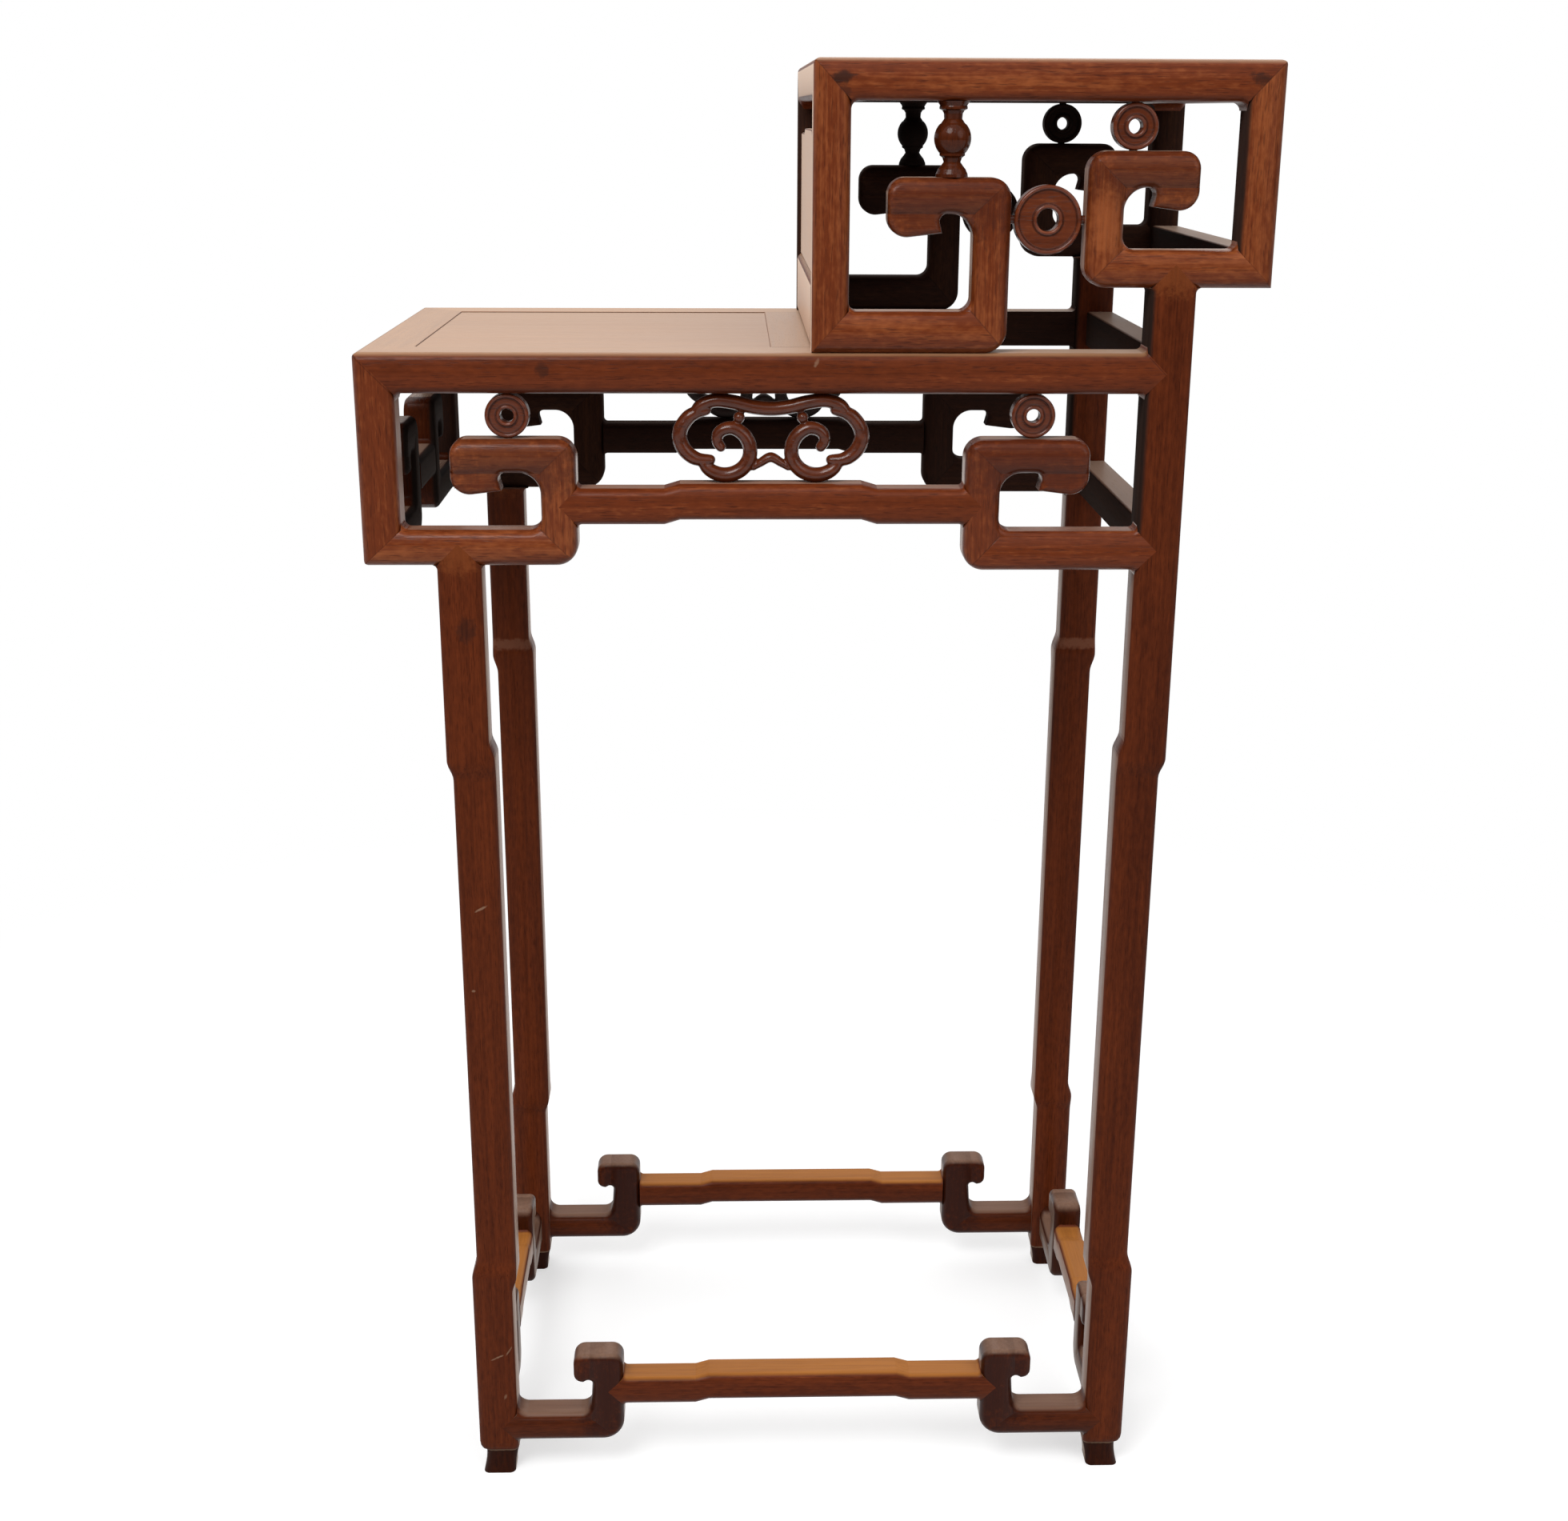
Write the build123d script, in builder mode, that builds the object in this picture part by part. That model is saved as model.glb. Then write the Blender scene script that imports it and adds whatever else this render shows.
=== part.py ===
"""Two-tier hardwood display stand: a low top on the left, a raised top on the right.

Every member is a separate joined piece. Frame: X along the length (the raised tier is at +X),
Y into the depth (the front is at -Y), Z up, origin at the bottom centre. Units: millimetres.
"""
import os
from math import cos, pi, sqrt

from build123d import *

# ---------------------------------------------------------------- driving dimensions
length = 572.0                 # over the low tier's left posts and the raised tier's right posts
depth = 304.0                  # over the front and back faces
height = 1000.0                # floor to the raised top
raised_height = 174.5          # the raised top over the low top
low_tier_height = 135.0        # the low top over the underside of the low scrolls
upper_length = 286.0           # raised tier, over its posts

leg_inset = 46.5               # overhang of the tiers beyond the legs
leg_width = 28.5               # leg, across X
leg_depth = 27.0               # leg, across Y
leg_jog = 3.4                  # sideways step of the legs' middle part, towards the centre
jog_run = 15.0                 # height over which a leg face takes its step
upper_jog_drop = 139.5         # low tier's underside to the upper step on a leg's outer faces
lower_jog_height = 173.0       # middle of the lower step on a leg's outer faces
inner_jog_spread = 14.0        # the steps on the inner faces lie this much farther apart
toe_round_height = 8.0         # rounded lower end of a leg's outer faces
toe_round_width = 4.2
foot_height = 19.5
foot_setback = 2.0             # how far a foot's toe stays behind the leg's outer faces
foot_tuck = 3.0                # how far its inner faces draw in below
foot_waist = 0.8               # hollow of a foot's sides

low_post_width = 25.0          # square posts of the low tier's left end
low_rail_height = 25.5         # long rails and end rails under the low top
low_rail_depth = 25.5          # long rails beside the open bay
upper_post_width = 23.0        # square posts of the raised tier
upper_rail_height = 24.5
top_frame_width = 35.0         # plan width of the mitred frames round both panels
cross_rail_width = 37.0        # rail across the low top, at the raised tier's left end
cross_rail_lead = 25.0         # how far that rail reaches out beyond the raised tier
end_rail_thickness = 20.0      # plain rails across the ends
panel_thickness = 9.0
panel_drop = 0.6               # panels lie this much below their frames
tongue_width = 5.0             # edge tongue of a panel, let into the frame
tongue_thickness = 4.0

lattice_depth = 22.0           # thickness of scrolls, apron rails and stretchers
member = 23.0                  # face width of scroll uprights and apron rails
scroll_bar = 21.5              # height of a scroll's top arm
shoulder_depth = 8.0           # how far the pointed tenon shoulders go in from the face
arris = 4.4                    # rounding of long edges
fine_arris = 0.8               # rounding of frame edges beside the panels
end_arris = 1.8                # rounding of the plain rails across the right end
rail_cove = 3.0                # rounding where a rail meets an upright
leg_cove = 3.5                 # rounding where a leg or a long rail ends against another member
post_cove = 5.0                # rounding inside a scroll beside its post

low_scroll_width = 137.5       # outer corner to the upright's outer face
low_right_scroll_width = 112.5 # the same from the right leg
low_scroll_height = 81.0
low_right_sag = 3.5            # the right scrolls' rail lies this much lower
low_right_rail = 25.5          # height of that rail
low_scroll_head = 80.0         # length of a scroll's top arm
upper_left_scroll_width = 122.0
upper_left_scroll_height = 105.5
upper_left_scroll_head = 76.0
upper_right_scroll_width = 117.5
upper_right_scroll_height = 81.5
upper_right_scroll_rise = 40.0 # its underside over the low top
upper_right_scroll_head = 69.0
end_scroll_width = 116.0
end_scroll_head = 52.0
scroll_heel_radius = 14.0      # outer corner under a scroll's upright
scroll_crown_radius = 12.5     # outer corner over a scroll's upright
scroll_eye_radius = 8.0        # lower inner corner of a scroll
scroll_brow_radius = 14.0      # its upper inner corner, under the arm
head_top_radius = 10.5
head_chin_radius = 12.0
head_drop = 37.0               # height of a scroll's hooked head
beak_length = 32.0             # from the head's end to its beak
upper_left_beak_length = 34.0
upper_right_beak_length = 28.0
end_beak_length = 17.0         # the same on the short scrolls of the left end
end_brow_radius = 4.5          # inner corner under the arms of those short scrolls
end_chin_radius = 9.0
beak_rise = 4.0                # the beak's tip over the chin
beak_hook = 3.0                # how far the hollow behind the beak goes in beyond its tip
beak_throat_radius = 4.5       # rounding of that hollow

apron_rise = 26.5              # underside of the apron rails over that of the low scrolls
apron_hump = 3.0               # how much the middle of an apron rail stands up
apron_hump_half = 58.0         # half length of that raised middle
hump_run = 10.0                # length of its sloping ends

ring_thickness = 12.5
ring_recess = 1.2              # depth of the sunk face between a ring's lip and bead
ring_lip = 2.8                 # width of the lip at its outer edge
ring_bead = 2.5                # width of the bead round its hole
small_ring_radius = 13.9
small_ring_hole = 4.4
low_ring_spread = 166.5        # from the apron rail's middle to a ring's centre
upper_ring_place = 89.5        # from the right end to the ring's centre
large_ring_radius = 20.8
large_ring_hole = 6.9
large_ring_rise = 80.5         # its centre over the low top
back_ring_drop = 8.5           # the back ring hangs this much lower
ring_neck_radius = 2.6         # necks that fix a ring to its neighbours
baluster_place = 85.5          # from the raised tier's left end to the baluster's axis
baluster_radius = 11.3
baluster_belly = (0.31, 0.49, 0.685)   # start, middle and end of its round belly, from the top
baluster_belly_ends = (0.74, 0.69)     # radius there, in shares of the baluster's
baluster_neck_shape = [                # turned neck over the belly: height share, radius share
    (0, 0.9), (0.035, 0.8), (0.063, 0.73), (0.08, 0.76), (0.105, 0.76), (0.125, 0.6),
    (0.165, 0.51), (0.235, 0.49), (0.29, 0.64), (0.302, 0.7)]
baluster_foot_shape = [                # turned foot under the belly
    (0.715, 0.69), (0.745, 0.53), (0.8, 0.46), (0.85, 0.6), (0.895, 0.75), (0.957, 0.86),
    (1, 0.88)]

ruyi_band = 8.0                # face width of the cloud ornament's bands
ruyi_neck = 6.0                # width of its necks and middle bracket
ruyi_depth = 12.0
ruyi_half_width = 63.6

stretcher_base = 29.0          # underside of the base stretchers
stretcher_rail = 22.5          # face width of the base stretchers
stretcher_step = 30.3          # how much the middle rail lies over the short end rails
hook_height = 72.0             # height of a hooked upright
hook_width = 24.5
hook_head = 36.5               # width of its head
hook_chin_height = 48.5        # underside of the head, over the rail's underside
hook_chin_rise = 1.0           # how much higher the head's underside ends
hook_lip = 5.0                 # tip of the hook beyond the upright
hook_undercut = 2.0            # how far its throat goes in behind the upright's face
hook_throat_rise = 4.0
hook_heel_radius = 16.0
hook_crown_radius = 8.5
hook_chin_radius = 6.0
hook_throat_radius = 3.0
stretcher_cove = 8.0           # rounding between a short end rail and its leg
long_hook_place = 132.0        # from the centre to a hook's inner face, on the long sides
short_hook_place = 52.0        # the same on the short sides
long_hump_half = 69.0
short_hump_half = 27.0

end_rail_height = 42.5         # bottom rail of the raised tier's left end
board_recess = 2.5             # how far the left end board lies back from its frame
board_thickness = 9.0
board_slot = 21.5              # hand slot over the end board
board_crest = 3.5              # rise of the board's top edge at its middle
board_crest_half = 60.0

# ---------------------------------------------------------------- derived places
left, right = -length / 2, length / 2
front = -depth / 2
upper_left = right - upper_length
leg_out = length / 2 - leg_inset             # legs' outer faces, from the centre
leg_in = leg_out - leg_width
leg_in_y = depth / 2 - leg_depth
low_top_height = height - raised_height
low_scroll_base = low_top_height - low_tier_height
low_right_base = low_scroll_base - low_right_sag
upper_right_scroll_base = low_top_height + upper_right_scroll_rise
upper_jog_height = low_scroll_base - upper_jog_drop
apron_base = low_scroll_base + apron_rise
low_rail_base = low_top_height - low_rail_height
upper_rail_base = height - upper_rail_height
low_scroll_top = low_scroll_base + low_scroll_height
upper_left_scroll_top = low_top_height + upper_left_scroll_height
upper_right_scroll_top = upper_right_scroll_base + upper_right_scroll_height
apron_left = left + low_scroll_width
apron_right = leg_in - low_right_scroll_width
apron_middle = (apron_left + apron_right) / 2
apron_top = apron_base + member + apron_hump
cross_left = upper_left - cross_rail_lead
cross_right = cross_left + cross_rail_width
waste = 60.0                                 # length of stock cut away beyond a joint
spare = 1.0                                  # how far cutting prisms pass the faces
overrun = 1.5                                # how many widths a cut runs past a mitre's corner
same_place = 0.01                            # a vertex this close to a corner is that corner
jog_steps = 6                                # straight steps that shape each jog of a leg
toe_steps = 4                                # the same for the rounded end of a leg
foot_steps = 8                               # and for a foot

front_face = Plane(origin=(0, front, 0), x_dir=(1, 0, 0), z_dir=(0, -1, 0))
os.makedirs("parts", exist_ok=True)


# ---------------------------------------------------------------- helpers
def outline(corners):
    """The closed outline through (x, y, radius) corners, rounded at each corner."""
    with BuildSketch() as shape:
        with BuildLine():
            Polyline(*[(x, y) for x, y, _ in corners], close=True)
        make_face()
        for radius in sorted({r for _, _, r in corners if r > 0}):
            places = [(x, y) for x, y, r in corners if r == radius]
            chosen = [v for v in shape.vertices()
                      if any(abs(v.X - x) + abs(v.Y - y) < same_place for x, y in places)]
            fillet(chosen, radius)
    return shape.sketch


def board(plane, corners, thickness, rounding=arris, back_rounding=None):
    """A flat member behind the plane, cut to an outline, its face edges rounded."""
    with BuildPart() as blank:
        with BuildSketch(plane):
            add(outline(corners))
        extrude(amount=-thickness)
        faces = blank.edges().group_by(Axis((0, 0, 0), plane.z_dir))
        fillet(faces[-1], rounding)
        faces = blank.edges().group_by(Axis((0, 0, 0), plane.z_dir))
        fillet(faces[0], rounding if back_rounding is None else back_rounding)
    return blank.part


def zone(plane, points, near, far):
    """A prism between two depths behind the plane, for cutting members to their joints."""
    with BuildPart() as prism:
        with BuildSketch(plane.offset(-near)):
            with BuildLine():
                Polyline(*points, close=True)
            make_face()
        extrude(amount=near - far)
    return prism.part


def trimmed(blank, *waste_pieces):
    """The blank without the given pieces."""
    with BuildPart() as piece:
        add(blank)
        for solid in waste_pieces:
            add(solid, mode=Mode.SUBTRACT)
    return piece.part


def kept(blank, region):
    """The share of the blank that lies in a region."""
    with BuildPart() as piece:
        add(blank)
        add(region, mode=Mode.INTERSECT)
    return piece.part


def end_plane(x_face, facing):
    """The plane of an end face; its local X is Y times `facing`, which is -1 for left faces."""
    return Plane(origin=(x_face, 0, 0), x_dir=(0, facing, 0), z_dir=(facing, 0, 0))


def joined(*solids):
    """Shapes glued into one piece."""
    with BuildPart() as piece:
        for solid in solids:
            add(solid)
    return piece.part


def across(shape, plane=Plane.XZ):
    """The mirror image of a shape, by default on the back of the stand."""
    solids = [mirror(solid, about=plane) for solid in shape.solids()]
    return Compound(solids) if len(solids) > 1 else joined(*solids)


def beam(x_span, y_span, z_span, along, rounding=arris):
    """A straight member with rounded long edges."""
    spans = (x_span, y_span, z_span)
    centre = [(low + high) / 2 for low, high in spans]
    with BuildPart() as piece:
        with Locations(tuple(centre)):
            Box(*[high - low for low, high in spans])
        fillet(piece.edges().filter_by(along), rounding)
    return piece.part


def flipped(points, upright):
    """Outline points with their two coordinates exchanged for upright members."""
    return [(y, x) for x, y in points] if upright else points


def shoulder(plane, face, direction, low, high, upright=False):
    """Waste beyond a pointed tenon shoulder: outside the point, and behind its depth.

    The member spans low..high across and ends at `face`, where the next member begins.
    """
    tip = face + direction * (high - low) / 2
    far = face + direction * waste
    ends = [(face, low - waste), (face, low), (tip, (low + high) / 2), (face, high),
            (face, high + waste), (far, high + waste), (far, low - waste)]
    back = [(face, low - waste), (face, high + waste), (far, high + waste), (far, low - waste)]
    return [zone(plane, flipped(ends, upright), -spare, waste),
            zone(plane, flipped(back, upright), shoulder_depth, waste)]


def point(plane, face, direction, low, high, upright=False):
    """The pointed shoulder's own prism, cut out of the member it enters."""
    tip = face + direction * (high - low) / 2
    near = face - direction * spare
    ends = [(near, low), (face, low), (tip, (low + high) / 2), (face, high), (near, high)]
    return zone(plane, flipped(ends, upright), -spare, shoulder_depth)


def under_mitre(corner, width, rise):
    """The rail's side of a mitre that runs from an outer corner to the inner corner.

    `width` and `rise` lead, signed, from the outer corner to the inner one.
    """
    x, y = corner
    grow = 2 * spare / abs(width)
    inner_x, inner_y = x + width * (1 + grow), y + rise * (1 + grow)
    return [(x - grow * width, y - grow * rise), (inner_x, inner_y), (inner_x, y - grow * rise)]


def over_mitre(corner, width, rise):
    """The post's side of the same mitre, without the hollow beside the post."""
    x, y = corner
    far_y = y + rise + (waste if rise > 0 else -waste)
    return [(x - overrun * width, y - overrun * rise), (x + width, y + rise), (x + width, far_y),
            (x - overrun * width, far_y)]


def plan_mitre(corner, size_x, size_y, keeps_x):
    """Waste at a frame corner seen from above; `keeps_x` for the rail that runs along X."""
    x, y = corner
    outer = (x - overrun * size_x, y - overrun * size_y)
    inner = (x + overrun * size_x, y + overrun * size_y)
    third = (outer[0], inner[1]) if keeps_x else (inner[0], outer[1])
    return zone(Plane.XY, [outer, inner, third], -height - spare, 0)


def save(name, shape):
    """Write one node."""
    shape.label = name
    export_step(shape, f"parts/{name}.step")


def save_pair(name, shape, suffixes=("front", "back"), plane=Plane.XZ):
    """Write a piece and its mirror image."""
    save(f"{name}_{suffixes[0]}", shape)
    save(f"{name}_{suffixes[1]}", across(shape, plane))


# ---------------------------------------------------------------- scrolls
def scroll(plane, outer, direction, base, size, rail_height, post_width,
           beak=beak_length, brow=scroll_brow_radius, chin=head_chin_radius):
    """A C-scroll of three mitred solids: bottom rail, upright and hooked top arm.

    It starts at `outer` and runs in `direction`; `size` is its width, height and arm length.
    `post_width` is 0 where the rail ends against a leg, and then the rail's end is pointed.
    """
    width, rise, arm = size
    end_cove = post_cove if post_width else leg_cove
    tip = width - arm + beak
    corners = [
        (-member, 0, 0), (width, 0, scroll_heel_radius), (width, rise, scroll_crown_radius),
        (width - arm, rise, head_top_radius), (width - arm, rise - head_drop, chin),
        (tip, rise - head_drop + beak_rise, 0),
        (tip - beak_hook, rise - scroll_bar, beak_throat_radius),
        (width - member, rise - scroll_bar, brow),
        (width - member, rail_height, scroll_eye_radius),
        (post_width, rail_height, end_cove), (post_width, rail_height + member, 0),
        (-member, rail_height + member, 0)]
    if not post_width:
        corners[:1] = [(-member, -member, 0), (0, -member, 0), (0, 0, leg_cove)]
    blank = board(plane, [(outer + direction * s, base + h, r) for s, h, r in corners],
                  lattice_depth)

    def at(points):
        return [(outer + direction * s, base + h) for s, h in points]

    low_out = (width + overrun * member, -overrun * rail_height)
    low_in = (width - overrun * member, overrun * rail_height)
    high_in = (width - overrun * member, rise - overrun * scroll_bar)
    high_out = (width + overrun * member, rise + overrun * scroll_bar)
    head_base = rise - head_drop - spare
    regions = [
        [(-waste, low_out[1]), low_out, low_in, (-waste, low_in[1])],
        [low_out, low_in, high_in, high_out],
        [high_out, high_in, (high_in[0], head_base), (width - arm - spare, head_base),
         (width - arm - spare, high_out[1])]]
    rail, upright, head = [kept(blank, zone(plane, at(points), -spare, lattice_depth + spare))
                           for points in regions]
    if post_width:
        mitre = over_mitre((0, 0), post_width, rail_height)
        rail = trimmed(rail, zone(plane, at(mitre), -spare, lattice_depth + spare))
    else:
        rail = trimmed(rail, *shoulder(plane, outer, -direction, base, base + rail_height))
    return [rail, upright, head]


def hooked_stretcher(plane, place, leg_face):
    """One end of a base stretcher: the short rail at the leg and its hooked upright."""
    run = leg_face - place
    chin = hook_chin_height
    corners = [
        (0, 0, hook_heel_radius), (run, 0, leg_cove), (run, -stretcher_rail, 0),
        (run + member, -stretcher_rail, 0), (run + member, 2 * stretcher_rail, 0),
        (run, 2 * stretcher_rail, 0), (run, stretcher_rail, stretcher_cove),
        (hook_width, stretcher_rail, scroll_eye_radius),
        (hook_width - hook_undercut, chin + hook_throat_rise, hook_throat_radius),
        (hook_width + hook_lip, chin, 0), (hook_head, chin + hook_chin_rise, hook_chin_radius),
        (hook_head, hook_height, hook_crown_radius), (0, hook_height, hook_crown_radius)]
    blank = board(plane, [(place + s, stretcher_base + h, r) for s, h, r in corners],
                  lattice_depth)
    reach = overrun * stretcher_rail
    tall = [(-spare, -spare * stretcher_rail / hook_width),
            (overrun * hook_width, reach), (hook_head + spare, reach),
            (hook_head + spare, hook_height + spare), (-spare, hook_height + spare)]
    tall_zone = zone(plane, [(place + s, stretcher_base + h) for s, h in tall],
                     -spare, lattice_depth + spare)
    rail = trimmed(blank, tall_zone,
                   *shoulder(plane, leg_face, 1, stretcher_base, stretcher_base + stretcher_rail))
    return [rail, kept(blank, tall_zone)]


def humped_rail(plane, start, end, base, face, half, hump=apron_hump):
    """A middle rail between two uprights, pointed at both ends, its middle standing up."""
    middle = (start + end) / 2
    top = base + face
    waves = [(middle - half - hump_run, 0), (middle - half, hump), (middle + half, hump),
             (middle + half + hump_run, 0)]
    corners = [(start - face, base - face, 0), (start, base - face, 0), (start, base, rail_cove)]
    if hump:
        corners += [(x, base + lift, 0) for x, lift in waves]
    corners += [(end, base, rail_cove), (end, base - face, 0), (end + face, base - face, 0),
                (end + face, top + face, 0), (end, top + face, 0), (end, top, rail_cove)]
    if hump:
        corners += [(x, top + lift, 0) for x, lift in reversed(waves)]
    corners += [(start, top, rail_cove), (start, top + face, 0), (start - face, top + face, 0)]
    blank = board(plane, corners, lattice_depth)
    return trimmed(blank, *shoulder(plane, start, -1, base, top), *shoulder(plane, end, 1, base, top))


# ---------------------------------------------------------------- legs and feet
def eased(z, middle):
    """0 below a jog and 1 above it, with a smooth run between."""
    share = min(max((z - middle) / jog_run + 0.5, 0), 1)
    return (1 - cos(pi * share)) / 2


def leg_section(z):
    """How far a leg's outer and inner faces have moved towards the centre at height z."""
    outer = leg_jog * eased(z, lower_jog_height) * (1 - eased(z, upper_jog_height))
    inner = leg_jog * eased(z, lower_jog_height - inner_jog_spread)
    inner *= 1 - eased(z, upper_jog_height + inner_jog_spread)
    low = min(max((foot_height + toe_round_height - z) / toe_round_height, 0), 1)
    return outer + toe_round_width * (1 - sqrt(1 - low * low)), inner


def lofted_post(sections):
    """A solid through rounded square sections (z, x_out, x_in, y_out, y_in) at +X, -Y."""
    with BuildPart() as piece:
        for z, x_out, x_in, y_out, y_in in sections:
            with BuildSketch(Plane.XY.offset(z)):
                with Locations(((x_out + x_in) / 2, -(y_out + y_in) / 2)):
                    RectangleRounded(x_out - x_in, y_out - y_in, arris)
        loft(ruled=True)
    return piece.part


def leg(top):
    """A front leg at +X up to a pointed shoulder at `top`."""
    toe_levels = [foot_height + toe_round_height * (i / toe_steps) ** 2
                  for i in range(toe_steps + 1)]
    jogs = [lower_jog_height - inner_jog_spread, lower_jog_height,
            upper_jog_height, upper_jog_height + inner_jog_spread]
    levels = toe_levels + [middle + jog_run * (i / jog_steps - 0.5)
                           for middle in jogs for i in range(jog_steps + 1)]
    straight = jogs[-1] + jog_run
    sections = []
    for z in sorted(levels + [straight]):
        outer, inner = leg_section(z)
        sections.append((z, leg_out - outer, leg_in - inner,
                         depth / 2 - outer, leg_in_y - inner))
    head = board(front_face, [
        (leg_out, straight - waste, 0), (leg_in, straight - waste, 0), (leg_in, top, leg_cove),
        (leg_in - member, top, 0), (leg_in - member, top + member, 0),
        (leg_out + member, top + member, 0), (leg_out + member, top, 0), (leg_out, top, leg_cove)],
        leg_depth)
    below = zone(Plane.XY, [(leg_in - waste, front - waste), (leg_out + waste, front - waste),
                            (leg_out + waste, 0), (leg_in - waste, 0)], -straight, 0)
    head = trimmed(head, below, *shoulder(front_face, top, 1, leg_in, leg_out, upright=True))
    rail_top = stretcher_base + stretcher_rail
    cuts = [point(front_face, leg_in, 1, stretcher_base, rail_top),
            point(end_plane(leg_out, 1), -leg_in_y, -1, stretcher_base, rail_top)]
    return trimmed(joined(lofted_post(sections), head), *cuts)


def foot():
    """A front foot at +X: a block with hollow sides whose toe turns outwards."""
    sections = []
    for i in range(foot_steps + 1):
        share = i / foot_steps                              # 0 at the floor, 1 under the leg
        hollow = foot_waist * (1 - (2 * share - 1) ** 2)
        outer = toe_round_width * share + foot_setback * (1 - share) + hollow
        inner = foot_tuck * (1 - share) + hollow
        sections.append((foot_height * share, leg_out - outer, leg_in + inner,
                         depth / 2 - outer, leg_in_y + inner))
    return lofted_post(sections)


# ---------------------------------------------------------------- posts, rails and panels
def post(x_face, side, width, base, top, low_rise, high_rise):
    """A front post with its outer face at x_face; `side` is +1 for a left post.

    A scroll rail of height `low_rise` is mitred to its foot, a frame of height `high_rise`
    to its head.
    """
    span = tuple(sorted((x_face, x_face + side * width)))
    stock = beam(span, (front, front + width), (base, top), Axis.Z)
    ends = end_plane(x_face, -side)
    high_waste = [
        zone(front_face, under_mitre((x_face, top), side * width, -high_rise), -spare, waste),
        zone(ends, under_mitre((-side * front, top), -side * width, -high_rise), -spare, waste)]
    low_waste = zone(front_face, under_mitre((x_face, base), side * width, low_rise),
                     -spare, lattice_depth)
    return trimmed(stock, low_waste, *high_waste)


def frame_rail(plane, start, end, base, top, post_width, rounding=arris):
    """A rail of a mitred top frame between two posts, before its plan mitres are cut."""
    face = top - base
    corners = [(start - face, base - face, 0), (start + post_width, base - face, 0),
               (start + post_width, base, post_cove), (end - post_width, base, post_cove),
               (end - post_width, base - face, 0), (end + face, base - face, 0),
               (end + face, top, 0), (start - face, top, 0)]
    blank = board(plane, corners, top_frame_width, rounding, fine_arris)
    return trimmed(blank, *[
        zone(plane, over_mitre((x, top), side * post_width, -face), -spare, waste)
        for x, side in ((start, 1), (end, -1))])


def panel(x_span, y_half, top):
    """A flat panel with a tongue all round, filling x_span by +-y_half of a frame."""
    centre = (x_span[0] + x_span[1]) / 2
    size = x_span[1] - x_span[0]
    face = top - panel_drop
    with BuildPart() as piece:
        with Locations((centre, 0, face - panel_thickness / 2)):
            Box(size, 2 * y_half, panel_thickness)
            Box(size + 2 * tongue_width, 2 * (y_half + tongue_width), tongue_thickness)
    return piece.part


def frame_joints(rail, x, side, keeps_x=True):
    """The 45 degree plan mitre at the front corner of a top frame."""
    return trimmed(rail, plan_mitre((x, front), side * top_frame_width, top_frame_width, keeps_x))


panel_half = depth / 2 - top_frame_width
low_panel = panel((left + top_frame_width, cross_left), panel_half, low_top_height)
high_panel = panel((upper_left + top_frame_width, right - top_frame_width), panel_half, height)

# low tier: posts, rails, panel
corner_post = trimmed(
    post(left, 1, low_post_width, low_scroll_base, low_top_height, member, low_rail_height),
    zone(end_plane(left, -1), under_mitre((-front, low_scroll_base), -low_post_width, member),
         -spare, lattice_depth))
save_pair("corner_post", corner_post)

rail_end = low_rail_base - low_rail_height
long_rail = board(front_face, [
    (left - member, rail_end, 0), (left + low_post_width, rail_end, 0),
    (left + low_post_width, low_rail_base, post_cove), (leg_in, low_rail_base, leg_cove),
    (leg_in, rail_end, 0), (leg_in + member, rail_end, 0),
    (leg_in + member, low_top_height + member, 0), (leg_in, low_top_height + member, 0),
    (leg_in, low_top_height, leg_cove), (left - member, low_top_height, 0)],
    top_frame_width, arris, fine_arris)
beside_bay = zone(front_face, [(cross_right, rail_end - spare), (leg_out + waste, rail_end - spare),
                               (leg_out + waste, height), (cross_right, height)],
                  low_rail_depth, waste)
long_rail = trimmed(
    frame_joints(long_rail, left, 1),
    zone(front_face, over_mitre((left, low_top_height), low_post_width, -low_rail_height),
         -spare, waste),
    beside_bay, low_panel, *shoulder(front_face, leg_in, 1, low_rail_base, low_top_height))
save_pair("long_rail", long_rail)

end_rail = frame_rail(end_plane(left, -1), front, -front, low_rail_base, low_top_height,
                      low_post_width)
end_rail = frame_joints(end_rail, left, 1, keeps_x=False)
end_rail = trimmed(across(end_rail), plan_mitre((left, front), top_frame_width, top_frame_width,
                                                False), low_panel)
save("lower_left_end_rail", end_rail)
cross_rail = beam((cross_left, cross_right), (-panel_half, panel_half),
                  (low_rail_base, low_top_height), Axis.Y, fine_arris)
save("lower_cross_rail", trimmed(cross_rail, low_panel))
end_span = (leg_out - end_rail_thickness, leg_out)
save("lower_right_end_rail", beam(end_span, (-leg_in_y, leg_in_y), (low_rail_base, low_top_height),
                                  Axis.Y, end_arris))
save("right_end_low_rail", beam(end_span, (-leg_in_y, leg_in_y),
                                (low_right_base, low_right_base + low_right_rail), Axis.Y,
                                end_arris))
save("lower_top_panel", low_panel)

# raised tier: posts, rails, panel
save_pair("upper_left_post", post(upper_left, 1, upper_post_width, low_top_height, height,
                                  low_rail_height, upper_rail_height))
save_pair("upper_right_post", post(right, -1, upper_post_width, upper_right_scroll_base, height,
                                   member, upper_rail_height))
upper_rail = frame_rail(front_face, upper_left, right, upper_rail_base, height, upper_post_width)
upper_rail = frame_joints(frame_joints(upper_rail, upper_left, 1), right, -1)
save_pair("upper_rail", trimmed(upper_rail, high_panel))
upper_end = frame_rail(end_plane(right, 1), front, -front, upper_rail_base, height,
                       upper_post_width)
upper_end = frame_joints(upper_end, right, -1, keeps_x=False)
upper_end = frame_joints(across(upper_end), right, -1, keeps_x=False)
upper_end = trimmed(upper_end, high_panel)
upper_middle = Plane(origin=((upper_left + right) / 2, 0, 0), z_dir=(1, 0, 0))
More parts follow.
